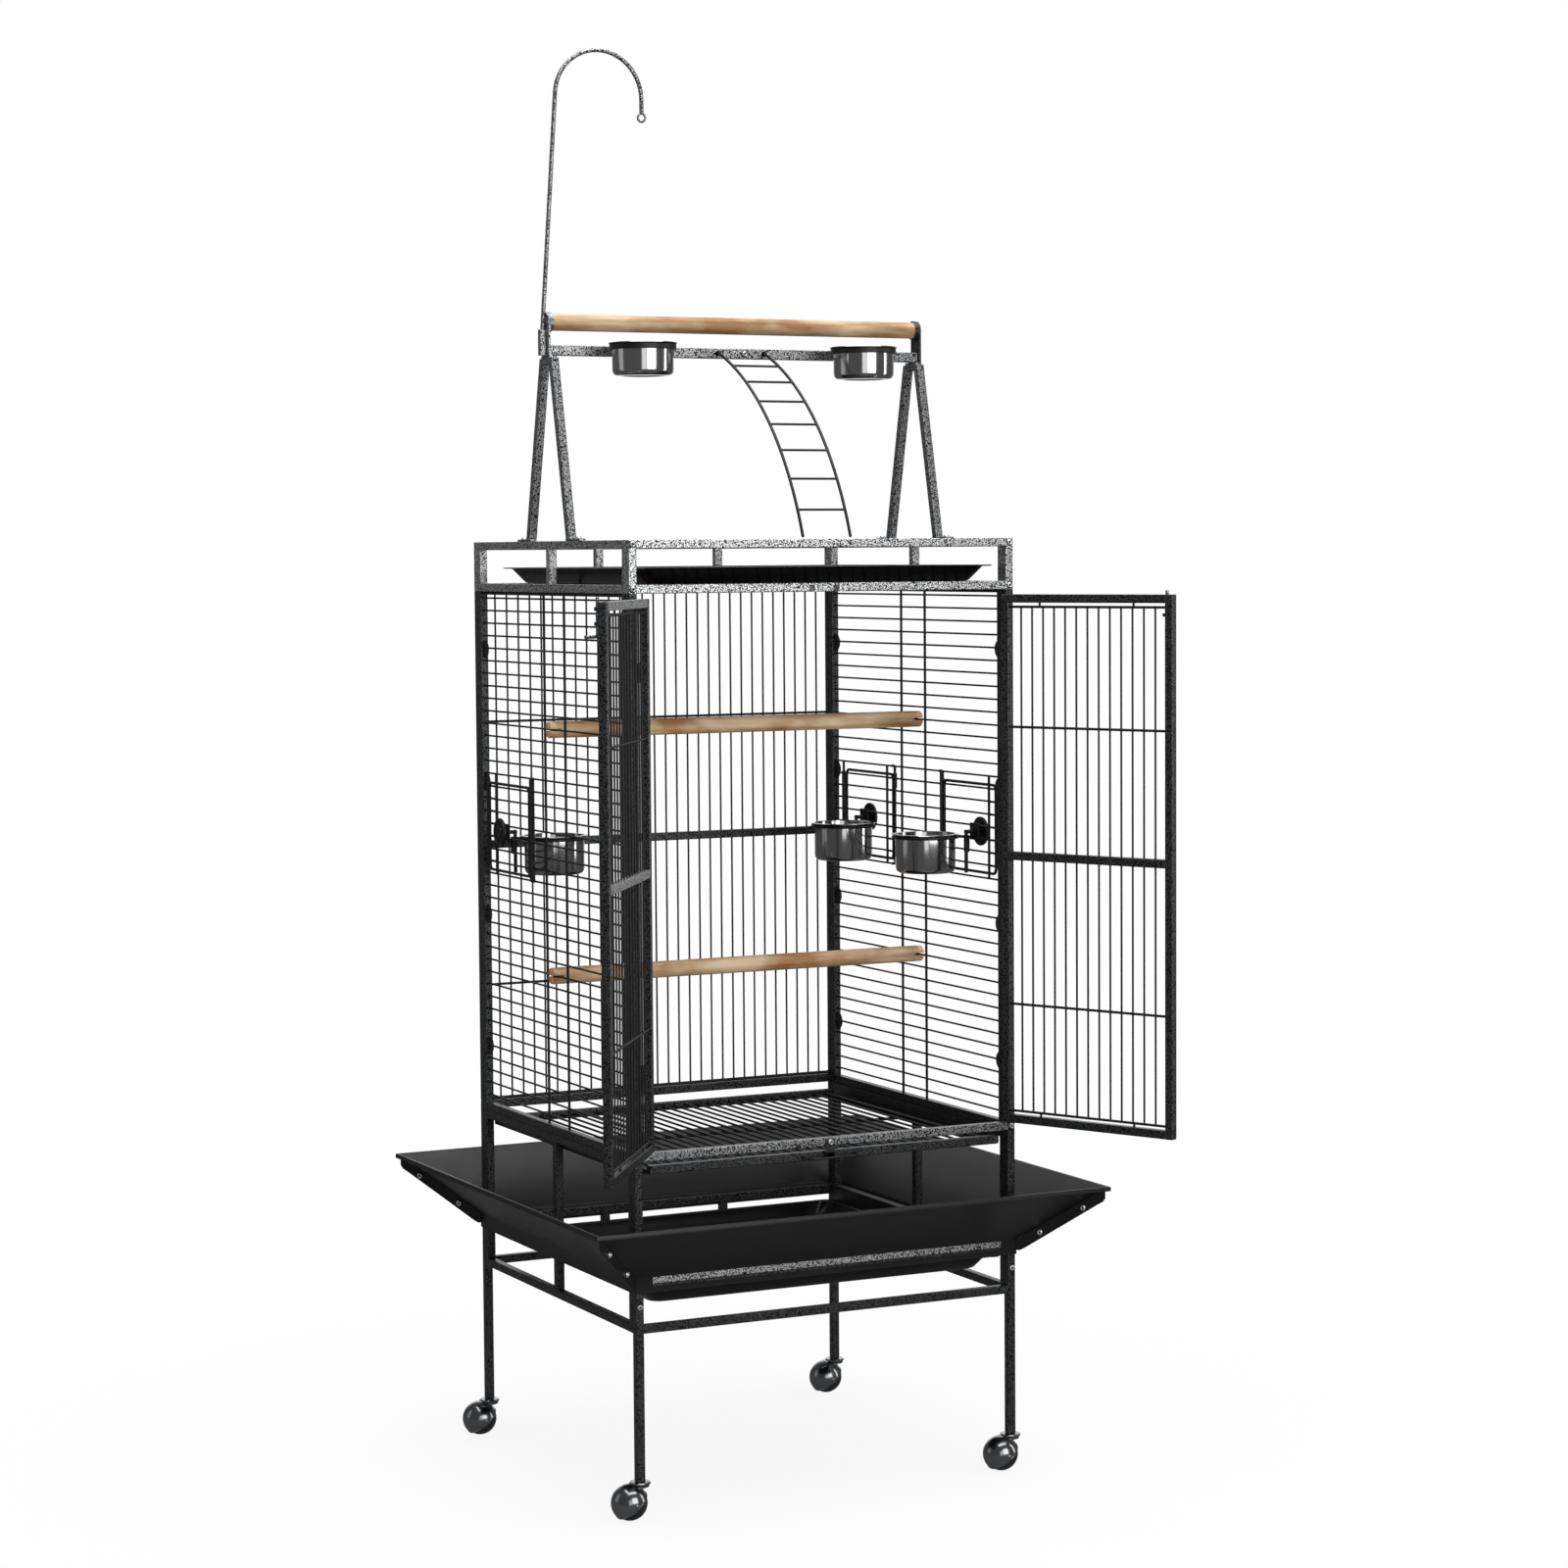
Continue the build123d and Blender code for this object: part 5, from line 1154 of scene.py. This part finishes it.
# %% Turn locks
LOCK_X, RIB_X, RIB_R, TONGUE_X = 317.0, 319.9, (7.6, 18.2), (291.75, 296.75)
DISC = [(0, 3.4), (4.0, 3.4), (5.2, 4.6), (7.4, 4.6), (8.4, 2.6), (17.2, 2.6), (18.4, 4.2), (20.4, 5.0),
        (21.6, 4.4), (22, 3.0), (22, 0.8), (21.2, 0), (0, 0)]
for name, (s, f) in FEEDERS.items():
    lock, node, lock_y = Shape(), f"{name}_feeder_lock", f * LOCK_Y
    lathe(lock, DISC, (s * LOCK_X, lock_y, LOCK_Z), (s, 0, 0), 64)
    for a in np.arange(8) * math.pi / 4 + math.pi / 8:
        ends = [(s * RIB_X, lock_y + r * math.cos(a), LOCK_Z + r * math.sin(a)) for r in RIB_R]
        rod(lock, *ends, 2.0, 8)
    rod(lock, (s * 291.8, lock_y, LOCK_Z), (s * (LOCK_X + 1), lock_y, LOCK_Z), 6, 24)
    tongue = sorted(s * x for x in TONGUE_X)
    box(lock, tongue, (lock_y - 2.5, lock_y + 2.5), (LOCK_Z - 62, LOCK_Z + 3.2), 1.5)
    hang(lock, f"{name}_turn_lock", [KNOB], node, node)

# %% [markdown]
# ## Cup rings
# Each feeder cup hangs by its rim in a wire ring, whose arm ends in a plug on the feeder door. A
# torus would draw the ring; carrying a circle round a circle is the same formula and uses the
# helper that is already there.

# %% Cup rings
RING_R, RING_WIRE_R, RING_STEPS = 49.0, 2.4, 72
RING_Z, PLUG_AT = FEED_RIM - 2.6 - RING_WIRE_R, np.array([302.45, 167.0])
PLUG = [(0, -23.6), (3.4, -23.6), (4.5, -22.4), (4.5, 1.2), (3.6, 2.4), (0, 2.4)]
for name, sides in FEEDERS.items():
    ring = Shape()
    centre, plug = FEED_CUP * sides, PLUG_AT * sides
    around = np.column_stack([circle(RING_R, RING_STEPS) + centre, np.full(RING_STEPS, RING_Z)])
    sweep(ring, around, circle(RING_WIRE_R), closed=True)
    towards = (plug - centre) / np.linalg.norm(plug - centre)
    rod(ring, (*(centre + towards * RING_R), RING_Z), (*plug, RING_Z), 4.3, 16)
    lathe(ring, PLUG, (*plug, RING_Z), count=24)
    hang(ring, f"{name}_cup_ring", [WIRE_BLACK], f"{name}_feeder_door", f"{name}_feeder_ring")

# %% [markdown]
# ## Perch ends
# The two perches in the cage have slit ends that sit on a wall wire. The slit could be cut by a
# boolean; two half-round fingers at each end leave the same gap and keep the faces even.

# %% Perch ends
FINGER_R, HALF_SLIT = 12.4, 1.8


def fingers(stick, z, body, half):
    """At each end, above and below the slit: a half circle carried to the tip, a little smaller."""
    gap = math.asin(HALF_SLIT / FINGER_R)
    b = np.linspace(gap, math.pi - gap, 25)
    scale = np.array([1, 1, 0.93])[:, None]
    for s in (-1, 1):
        xs = np.broadcast_to(np.array([body - 1, half - 1.2, half])[:, None] * s, (3, len(b)))
        for up in (-1, 1):
            rise = scale * FINGER_R * np.sin(b) + HALF_SLIT * (1 - scale)
            stick.solid(np.stack([xs, scale * FINGER_R * np.cos(b), z + up * rise], -1))


print("perch ends are slit", 2 * HALF_SLIT, "mm wide")

# %% [markdown]
# ## Perches
# Three wooden sticks: one along the play top and two across the cage. A cylinder would be too true
# for turned wood, so the radius wavers by a tenth of a millimetre along the stick, which bends the
# long highlight a little.

# %% Perches
PERCH_R, WAVER, WAVER_RUN = 12.5, 0.12, 61.0
PERCH_Z, WALL_PERCH, SLIT_DEEP = 1719.0, 312.75, 16


def perch(name, z, half, slit, wood):
    """A radius less a small sine of the length, times cosine and sine, carried along X."""
    stick = Shape()
    ring = circle(1, 48)
    xs = np.linspace(slit - half, half - slit, 90)[:, None, None]
    radius = PERCH_R - WAVER * (1 + np.sin(xs / WAVER_RUN + z)) / 2
    along = np.broadcast_to(xs, (*xs.shape[:1], len(ring), 1))
    stick.solid(np.concatenate([along, radius * ring + (0, z)], -1))
    if slit:
        fingers(stick, z, half - slit, half)
    hang(stick, f"{name}_wood", [wood], "cage", name)


perch("play_perch", PERCH_Z, 307.7, 0, PLAY_WOOD)
perch("upper_perch", row_z(10), WALL_PERCH, SLIT_DEEP, WOOD)
perch("lower_perch", row_z(29), WALL_PERCH, SLIT_DEEP, WOOD)

# %% [markdown]
# ## Splayed stands
# On the roof two splayed stands carry the play-top bar. Their legs lean, so a tube is carried
# between two points and not turned as an object: every object here stays unturned, because the
# finishes read its own coordinates.

# %% Splayed stands
BAR_Z, BAR = 1670.0, 15.0
BAR_MID = BAR_Z + BAR / 2
LEG_FOOT, LEG_HEAD, FOOT_TAB = (76.0, TOP_Z + 1.5), (16.5, BAR_Z - 5), (68.0, 116.0)
for name, s in SIDES.items():
    x = s * CORNER_X
    stand = Shape()
    for t in (-1, 1):
        leg = [(x, t * y, z) for y, z in (LEG_FOOT, LEG_HEAD)]
        sweep(stand, leg, rounded(TUBE, TUBE, TUBE_EDGE), (1, 0, 0))
        tab = sorted(t * y for y in FOOT_TAB)
        box(stand, (x - TUBE / 2, x + TUBE / 2), tab, (TOP_Z, TOP_Z + 3), 1.2)
    box(stand, (x - 6.2, x + 6.2), (-16, 16), (BAR_Z - 13, BAR_Z), 2.0)
    hang(stand, f"{name}_splayed_stand", [HAMMER_PAINTED_HALF_SHADE], "cage", f"{name}_a_frame")

# %% [markdown]
# ## Spliced bar and its cups
# The square bar on the stands is spliced off its middle so that it packs flat, and each half has a
# flat ring for a cup. A hole for the ladder could be cut right through; the eye sees only its shaded
# mouth, so a thin disc of painted shade is turned there.

# %% Spliced bar and its cups
LADDER_X, BAR_END, SPLICE_X, SPLICE_HALF = (-33.5, 43.5), 308.0, -41.0, 5.4
PLAY_CUP_X, PLAY_CUP_Y, PLAY_RIM = 183.0, -66.0, 1687.9
BAND_TOP, BAND_LOW = BAR_Z + BAR + 0.3, BAR_Z + BAR - 7.7
BAND = [(46.6, BAND_LOW), (49.0, BAND_LOW), (49.6, BAND_LOW + 0.6), (49.6, BAND_TOP - 0.6),
        (49.0, BAND_TOP), (46.6, BAND_TOP), (46.6, BAND_LOW)]
# A thin disc of painted shade where the ladder's hole opens.
MOUTH = [(0, 0.15), (4.0, 0.15), (4.25, 0.02), (4.25, -0.5), (0, -0.5)]
for name, s, a, b in (("left", -1, -BAR_END, SPLICE_X), ("right", 1, SPLICE_X, BAR_END)):
    beam, x = Shape(), s * PLAY_CUP_X
    bar(beam, (a, 0, BAR_MID), (b, 0, BAR_MID), BAR)
    lathe(beam, BAND, (x, PLAY_CUP_Y, 0), count=72, mark=1)
    box(beam, (x - 8, x + 8), (PLAY_CUP_Y + 48, -BAR / 2 + 0.5), (BAND_LOW, BAND_TOP), 1.0, mark=1)
    if s < 0:
        tongue = (BAR_MID - SPLICE_HALF, BAR_MID + SPLICE_HALF)
        box(beam, (SPLICE_X, SPLICE_X + 80), (-SPLICE_HALF, SPLICE_HALF), tongue)
    for hole in LADDER_X:
        if a < hole < b:
            lathe(beam, MOUTH, (hole, -BAR / 2, BAR_MID), (0, -1, 0), 24, mark=2)
    coats = [HAMMER_PAINTED_HALF_SHADE, WIRE_BLACK, RECESS_SHADE]
    hang(beam, f"{name}_spliced_bar", coats, "cage", f"{name}_play_bar")
    cup(f"{name}_play_cup", (x, PLAY_CUP_Y), PLAY_RIM, 49.0)

# %% [markdown]
# ## End plates
# A round-topped plate at each end of the bar holds the perch in a collar. A plate with a slot is
# awkward as a grid, so its face is cut into triangles between outline and slot, as a punch would
# leave it.

# %% End plates
PLATE_R, PLATE_THICK, SLOT_R, SLOT_Z = 14.0, 3.0, 2.5, (1699.25, 1692.25)
COLLAR_RING = [(12.8, 0), (14.2, 0), (14.6, 0.4), (14.6, 5.6), (14.2, 6), (12.8, 6), (12.8, 0)]


def end_plate(shape, s):
    """A half circle over two straight sides, with a slot between two half circles, and a collar."""
    arc = circle(PLATE_R, 48)[:25] + (0, PERCH_Z)
    outline = np.concatenate([[(-PLATE_R, BAR_Z), (PLATE_R, BAR_Z)], arc])
    half = circle(SLOT_R, 16)[:9]
    slot = np.concatenate([half + (0, SLOT_Z[0]), -half + (0, SLOT_Z[1])])

    def place(p, w):
        """The outline's two values as Y and Z, at the bar's end plus depth w along X."""
        return np.column_stack([np.full(len(p), s * (BAR_END + w)), p])

    plate(shape, outline, [slot], place, PLATE_THICK)
    lathe(shape, COLLAR_RING, (s * BAR_END, 0, PERCH_Z), (-s, 0, 0), 48)


bracket = Shape()
end_plate(bracket, 1)
hang(bracket, "right_end_plate", [HAMMER_PAINTED_SHADE], "cage", "right_perch_bracket")

# %% [markdown]
# ## Toy hook
# The left end plate also carries a tall rod bent to a hook, with an eye for a toy. A Bezier curve
# would need its handles tuned by eye; here the hook is one path: a line leaning four degrees, half
# a circle and a short drop, with a ring of flattened wire below.

# %% Toy hook
SOCKET_X, LEAN, BOW_R, ROD_R = -315.75, math.radians(4.0), 69.4, 3.25
ROD_FOOT, ROD_LONG, DROP, EYE_R = 1695.0, 361.0, 20.0, 6.0
hook = Shape()
end_plate(hook, -1)
box(hook, (SOCKET_X - 4.75, -310.6), (-4.75, 4.75), (BAR_Z, BAR_Z + 38), 1.2)
foot = np.array([SOCKET_X, 0, ROD_FOOT])
head = foot + ROD_LONG * np.array([math.sin(LEAN), 0, math.cos(LEAN)])
middle = head + BOW_R * np.array([math.cos(LEAN), 0, -math.sin(LEAN)])
turn = np.linspace(math.pi - LEAN, 0, 49)
arc = middle + BOW_R * np.column_stack([np.cos(turn), np.zeros(len(turn)), np.sin(turn)])
end = arc[-1] - DROP * UP
sweep(hook, np.concatenate([[foot], arc, [end]]), circle(ROD_R, 16), (0, 1, 0))
around = circle(EYE_R, 48)
eye = end + np.column_stack([around[:, 0], np.zeros(len(around)), around[:, 1] - 8 + ROD_R / 2])
flat_wire = circle(1.0) * (2.0, 1.75)
sweep(hook, eye, flat_wire[:, ::-1], (0, 1, 0), closed=True)
hang(hook, "toy_hook_rod", [HAMMER_PAINTED_HALF_SHADE], "cage", "toy_hook")

# %% [markdown]
# ## Ladder
# A bowed wire ladder leans from the bar to the front rail, hooked into two holes of the bar. Its
# stiles are arcs of one circle, so the circle's middle is found from the two ends and the radius,
# as with a pair of compasses. A Simple Deform modifier could bend a straight ladder, but then the
# rungs would no longer be spaced by a known length along the arc.

# %% Ladder curve
LADDER_R, STILE_R, RUNGS, RUNG_PITCH = 474.0, 2.25, 7, 51.6
top_at, foot_at = np.array([-12.0, BAR_MID]), np.array([-CORNER_Y, TOP_Z + 0.3 + STILE_R])
chord = foot_at - top_at
length = np.linalg.norm(chord)
normal = np.array([chord[1], -chord[0]]) / length
sink = math.sqrt(LADDER_R ** 2 - (length / 2) ** 2)
hub = (top_at + foot_at) / 2 + normal * sink * (1 if normal[1] < 0 else -1)
first, last = (math.atan2(*(p - hub)[::-1]) for p in (top_at, foot_at))
last += 2 * math.pi * round((first - last) / (2 * math.pi))


def on_arc(angle):
    """Y and Z of a point of the arc: the hub plus the radius times cosine and sine."""
    return hub + LADDER_R * np.stack([np.cos(angle), np.sin(angle)], -1)


print(f"ladder arc {LADDER_R * abs(last - first):.0f} mm long, chord {length:.0f} mm")

# %% [markdown]
# ## Ladder wires
# Each stile is one wire: a pin that hooks into the bar and the bowed length below it. The rungs
# are welded across at equal lengths along the arc. A Curve modifier would place them too, but the
# angle of a rung is simply its length along the arc over the radius.

# %% Ladder wires
ladder = Shape()
stile = on_arc(np.linspace(first, last, 41))
for x in LADDER_X:
    bowed = np.column_stack([np.full(len(stile), x), stile])
    path = np.concatenate([[(x, -2.5, BAR_MID), (x, -8.5, BAR_MID)], bowed])
    sweep(ladder, path, circle(STILE_R), (1, 0, 0), ease=0.8)
step = math.copysign(RUNG_PITCH / LADDER_R, last - first)
for at in on_arc(first + step * np.arange(1, RUNGS + 1)):
    rod(ladder, (LADDER_X[0] - 1, *at), (LADDER_X[1] + 1, *at), 3.5)
hang(ladder, "ladder_wires", [WIRE_BLACK], "ladder", "ladder")

# %% [markdown]
# ## Caster hoods
# Four hooded ball casters carry the cage: a plated half shell tipped back over the ball and a
# two-step collar on a stem. A sphere cut by a plane gives the hood, but no wall; here the outline
# of the wall, outside and back inside, is turned about the tipped axis.

# %% Caster hoods
COLLAR = [(0, 46.9), (12.6, 46.9), (13.4, 47.6), (13.4, 49.8), (12.2, 50.4), (12.2, 50.8),
          (14.9, 51.2), (15.5, 51.9), (15.5, 53.4), (14.6, 54.4), (9.5, 54.7), (4.0, 54.7),
          (4.0, 79.0), (0, 79.0)]
RIVET = [(0, 2.0), (1.6, 1.9), (3.0, 1.2), (3.6, 0), (0, 0)]
TILT, HOOD_OUT, HOOD_RIM, HOOD_IN, HOOD_LOW = math.radians(40), 27.4, 27.9, 26.1, 5.0


def caster_hood(name, stem, centre):
    """Radius times sine and cosine of the angle from the tipped axis: out to the rim and back."""
    hood = Shape()
    edge = math.acos(-HOOD_LOW / HOOD_OUT)
    away = np.concatenate([np.linspace(0, edge - 0.06, 24), [edge - 0.05, edge - 0.01],
                           np.linspace(edge, 0, 24)])
    shell = np.repeat([HOOD_OUT, HOOD_RIM, HOOD_IN], [24, 2, 24])
    wall = np.column_stack([shell * np.sin(away), shell * np.cos(away)])
    lathe(hood, wall, centre, (-math.sin(TILT), 0, math.cos(TILT)), 64)
    lathe(hood, COLLAR, stem, count=48)
    for side in (-1, 1):
        lathe(hood, RIVET, centre + (0, side * 26.6, 0), (0, side, 0), 24)
    rod(hood, centre - (0, 26.5, 0), centre + (0, 26.5, 0), 5, 16)
    node = f"{name}_caster_hood"
    hang(hood, f"{name}_caster_shell", [CHROME], node, node)


print("caster hoods tip back by", round(math.degrees(TILT)), "degrees")

# %% [markdown]
# ## Caster balls
# Each ball is a hard tread with a groove on both sides of its middle belt. A UV sphere has its
# poles on top; this ball is turned about its own axle, so its grooves run the way it rolls.

# %% Caster balls
BALL_R, GROOVE, TRAIL = 25.5, 0.7, 16.0


def caster_ball(name, centre):
    """Radius, less a groove at 17 to 20 degrees from the middle, turned about the axle's bore."""
    ball = Shape()
    away = np.linspace(0.1, math.pi - 0.1, 65)
    belt = np.abs(np.degrees(away) - 90)
    round_r = BALL_R - GROOVE * ((belt > 17) & (belt < 20))
    wall = np.column_stack([round_r * np.sin(away), round_r * np.cos(away)])
    lathe(ball, np.append(wall, wall[:1], 0), centre, (0, 1, 0), 72)
    node = f"{name}_caster_ball"
    hang(ball, f"{name}_caster_tread", [TREAD], node, node)


for end_name, t in ENDS.items():
    for side_name, s in SIDES.items():
        stem = np.array([s * CORNER_X, t * CORNER_Y, 0])
        centre = stem + (-TRAIL, 0, BALL_R)
        caster_hood(f"{end_name}_{side_name}", stem, centre)
        caster_ball(f"{end_name}_{side_name}", centre)

# %% [markdown]
# ## Bolts
# Small domed bolts with a socket hold frames, stands and skirts. They are bright against the dark
# coat, so the eye finds them at once. The outline of the grate's screw is turned again at each
# place, with a shank of its own length. Instances would be lighter, but a few dozen small lathes
# are cheap and export as one piece.

# %% Bolts
FRAME_BOLT_Z, FOOT_BOLT_Y, SHANK, SHANK_R = (306.75, 520.75, 1327.75, 1391.25), 104.0, 23.5, 2.5
bolts = Shape()
places = []
for t in ENDS.values():
    for s in SIDES.values():
        places += [((s * CORNER_X, t * HALF_D, z), (0, t, 0), SHANK) for z in FRAME_BOLT_Z]
        places.append(((s * CORNER_X, t * FOOT_BOLT_Y, TOP_Z + 3), (0, 0, 1), 9))
        mitre = np.array([s, -t, 0]) / math.sqrt(2)
        for at in SKIRT_BOLTS:
            centre = np.array([s * (HALF_W + at), t * (HALF_D + at), bolt_height(at)])
            places += [(centre + side * 1.3 * mitre, side * mitre, SHEET) for side in (-1, 1)]
places.append(((11.0, -BAR / 2 - 0.2, BAR_MID), (0, -1, 0), 11))
for at, axis, long in places:
    # Mark 1 paints shade into each socket and under each head.
    bolt(bolts, at, axis, long, SHANK_R, 0, 1)
hang(bolts, "bolt_heads", [ZINC, RECESS_SHADE], "cage", "frame_bolts")
print(len(places), "bolts")

# %% [markdown]
# ## Backdrop
# The cage is shown as a product shot on pure white. A white dome would do, but a dome that is
# white all round lights the black coat to grey. The world therefore asks each ray what it is: the
# camera sees plain white, shiny and clear rays see the white backdrop only within a cone behind
# the cage, as bare metal in a studio does, and soft light comes from a dim room.

# %% Backdrop
FORWARD, CONE_EDGE, CONE_FULL = (0.43, 0.868, 0.25), 0.82, 0.93
world = bpy.data.worlds.new("white_studio")
scene.world = world
world.use_nodes = True
sky = world.node_tree
ray = add(sky, "LightPath").outputs
towards = add(sky, "TexCoord").outputs["Generated"]
behind = add(sky, "VectorMath", {0: towards, 1: FORWARD}, operation="DOT_PRODUCT").outputs["Value"]
backdrop = add(sky, "MapRange", {"Value": behind, "From Min": CONE_EDGE, "From Max": CONE_FULL,
                                 "To Min": 0.1})
side = add(sky, "SeparateXYZ", {0: towards}).outputs["X"]
room = add(sky, "MapRange", {"Value": side, "From Min": -0.9, "From Max": 0.8, "To Min": 0.35, "To Max": 0.6})
mirror = add(sky, "Math", {0: ray["Is Glossy Ray"], 1: ray["Is Transmission Ray"]}, operation="MAXIMUM")
unseen = add(sky, "Mix", {0: mirror.outputs[0], 2: room.outputs[0], 3: backdrop.outputs[0]})
seen = add(sky, "Mix", {0: ray["Is Camera Ray"], 2: unseen.outputs[0], 3: 1.0})
add(sky, sky.nodes["Background"], {"Color": (1, 1, 1, 1), "Strength": seen.outputs[0]})
print("backdrop:", len(sky.nodes), "nodes; a cone of", round(math.degrees(math.acos(CONE_EDGE))), "degrees")

# %% [markdown]
# ## Lights
# One large soft light in front gives the coat its silvery dimples, one overhead the tops of the
# tubes. A narrow strip on the right and weak panels on the left and near the camera draw the
# upright bands on the steel cups. Area lights are chosen over points or a sun because their size
# is what makes a reflection look soft.

# %% Lights
def softbox(name, place, target, width, height, power):
    """A rectangular light at a place, its back along the line from the target."""
    light = bpy.data.lights.new(name, "AREA")
    light.shape = "RECTANGLE"
    light.size, light.size_y, light.energy = width, height, power
    lamp = bpy.data.objects.new(name, light)
    scene.collection.objects.link(lamp)
    lamp.location = place
    lamp.rotation_euler = (Vector(target) - Vector(place)).to_track_quat("-Z", "Y").to_euler()
    print(f"{name}: {width} x {height} m, {power} W")


softbox("key_front", (0.45, -4.3, 1.75), (0, 0, 1.3), 2.6, 2.6, 60)
softbox("strip_right", (3.2, -1.5, 1.5), (0, 0, 1.0), 0.5, 2.6, 14)
softbox("weak_left", (-3.3, 1.3, 1.4), (0, 0, 1.0), 1.4, 2.4, 4)
softbox("near_camera", (-1.8, -4.65, 1.25), (0, 0, 1.25), 1.4, 2.4, 11)
softbox("overhead", (0.0, -0.4, 3.6), (0, 0, 0), 3.0, 3.0, 90)

# %% [markdown]
# ## Floor
# The cage stands on paper that runs into the white backdrop with only a breath of shadow. A
# shadow catcher needs compositing, so the floor is a plain pale sheet that lets most of the
# backdrop through and clears away with distance from the cage, which leaves no horizon.

# %% Floor
FLOOR_HALF, FLOOR_DROP, FADE_NEAR, FADE_FAR = 6, -0.0005, 450, 1500
floor_data = bpy.data.meshes.new("floor")
corners = [(x * FLOOR_HALF, y * FLOOR_HALF, FLOOR_DROP) for x, y in ((-1, -1), (1, -1), (1, 1), (-1, 1))]
floor_data.from_pydata(corners, [], [(0, 1, 2, 3)])
floor = bpy.data.objects.new("floor", floor_data)
scene.collection.objects.link(floor)
pale, tree, point = finish("pale_studio_paper")
away = add(tree, "VectorMath", {0: point}, operation="LENGTH").outputs["Value"]
fade = add(tree, "MapRange", {"Value": away, "From Min": FADE_NEAR, "From Max": FADE_FAR,
                              "To Min": 0.1, "To Max": 0.0}, interpolation_type="SMOOTHSTEP")
paint = add(tree, tree.nodes["Principled BSDF"], {"Base Color": linear("#f4f4f4"), "Roughness": 0.7})
clear = add(tree, "BsdfTransparent")
blend = add(tree, "MixShader", {0: fade.outputs[0], 1: clear.outputs[0], 2: paint.outputs[0]})
add(tree, tree.nodes["Material Output"], {"Surface": blend.outputs[0]})
floor_data.materials.append(pale)
floor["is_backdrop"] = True
print("floor:", 2 * FLOOR_HALF, "m square, clear beyond", FADE_FAR / 1000, "m from the cage's middle")

# %% [markdown]
# ## Camera
# The camera was fitted to the straight edges of the cage, so its turn, height and focal length
# are numbers here. Three angles make three unit vectors, which are the columns of its matrix. A
# Track To constraint would be easier, but it can't hold the slight roll.

# %% Camera
YAW, PITCH, ROLL = 0.4599, -0.0634, -0.0072
CAMERA_AT, FOCAL_PIXELS, PHOTO_PIXELS, SENSOR = (-2.3881, -4.9754, 1.3772), 3709.77, 1600, 36.0
ahead = np.array([math.sin(YAW) * math.cos(PITCH), math.cos(YAW) * math.cos(PITCH), math.sin(PITCH)])
right = np.array([math.cos(YAW), -math.sin(YAW), 0])
up = np.cross(right, ahead)
right, up = math.cos(ROLL) * right + math.sin(ROLL) * up, math.cos(ROLL) * up - math.sin(ROLL) * right
lens = bpy.data.cameras.new("photo_camera")
lens.sensor_width = SENSOR
lens.lens = FOCAL_PIXELS / PHOTO_PIXELS * SENSOR
camera = bpy.data.objects.new("photo_camera", lens)
scene.collection.objects.link(camera)
pose = np.eye(4)
pose[:3] = np.column_stack([right, up, -ahead, CAMERA_AT])
camera.matrix_world = Matrix(pose.tolist())
scene.camera = camera
scene.view_settings.view_transform = "Standard"
print(f"camera: {lens.lens:.1f} mm lens, {math.degrees(YAW):.1f} degrees from the front")

# %% [markdown]
# ## Finish
# The last cell measures the dressed cage and prints its size, because looks never change a size.

# %% Finish
low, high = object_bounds()
print("cage measures", [round(float(b - a), 3) for a, b in zip(low, high)], "m")
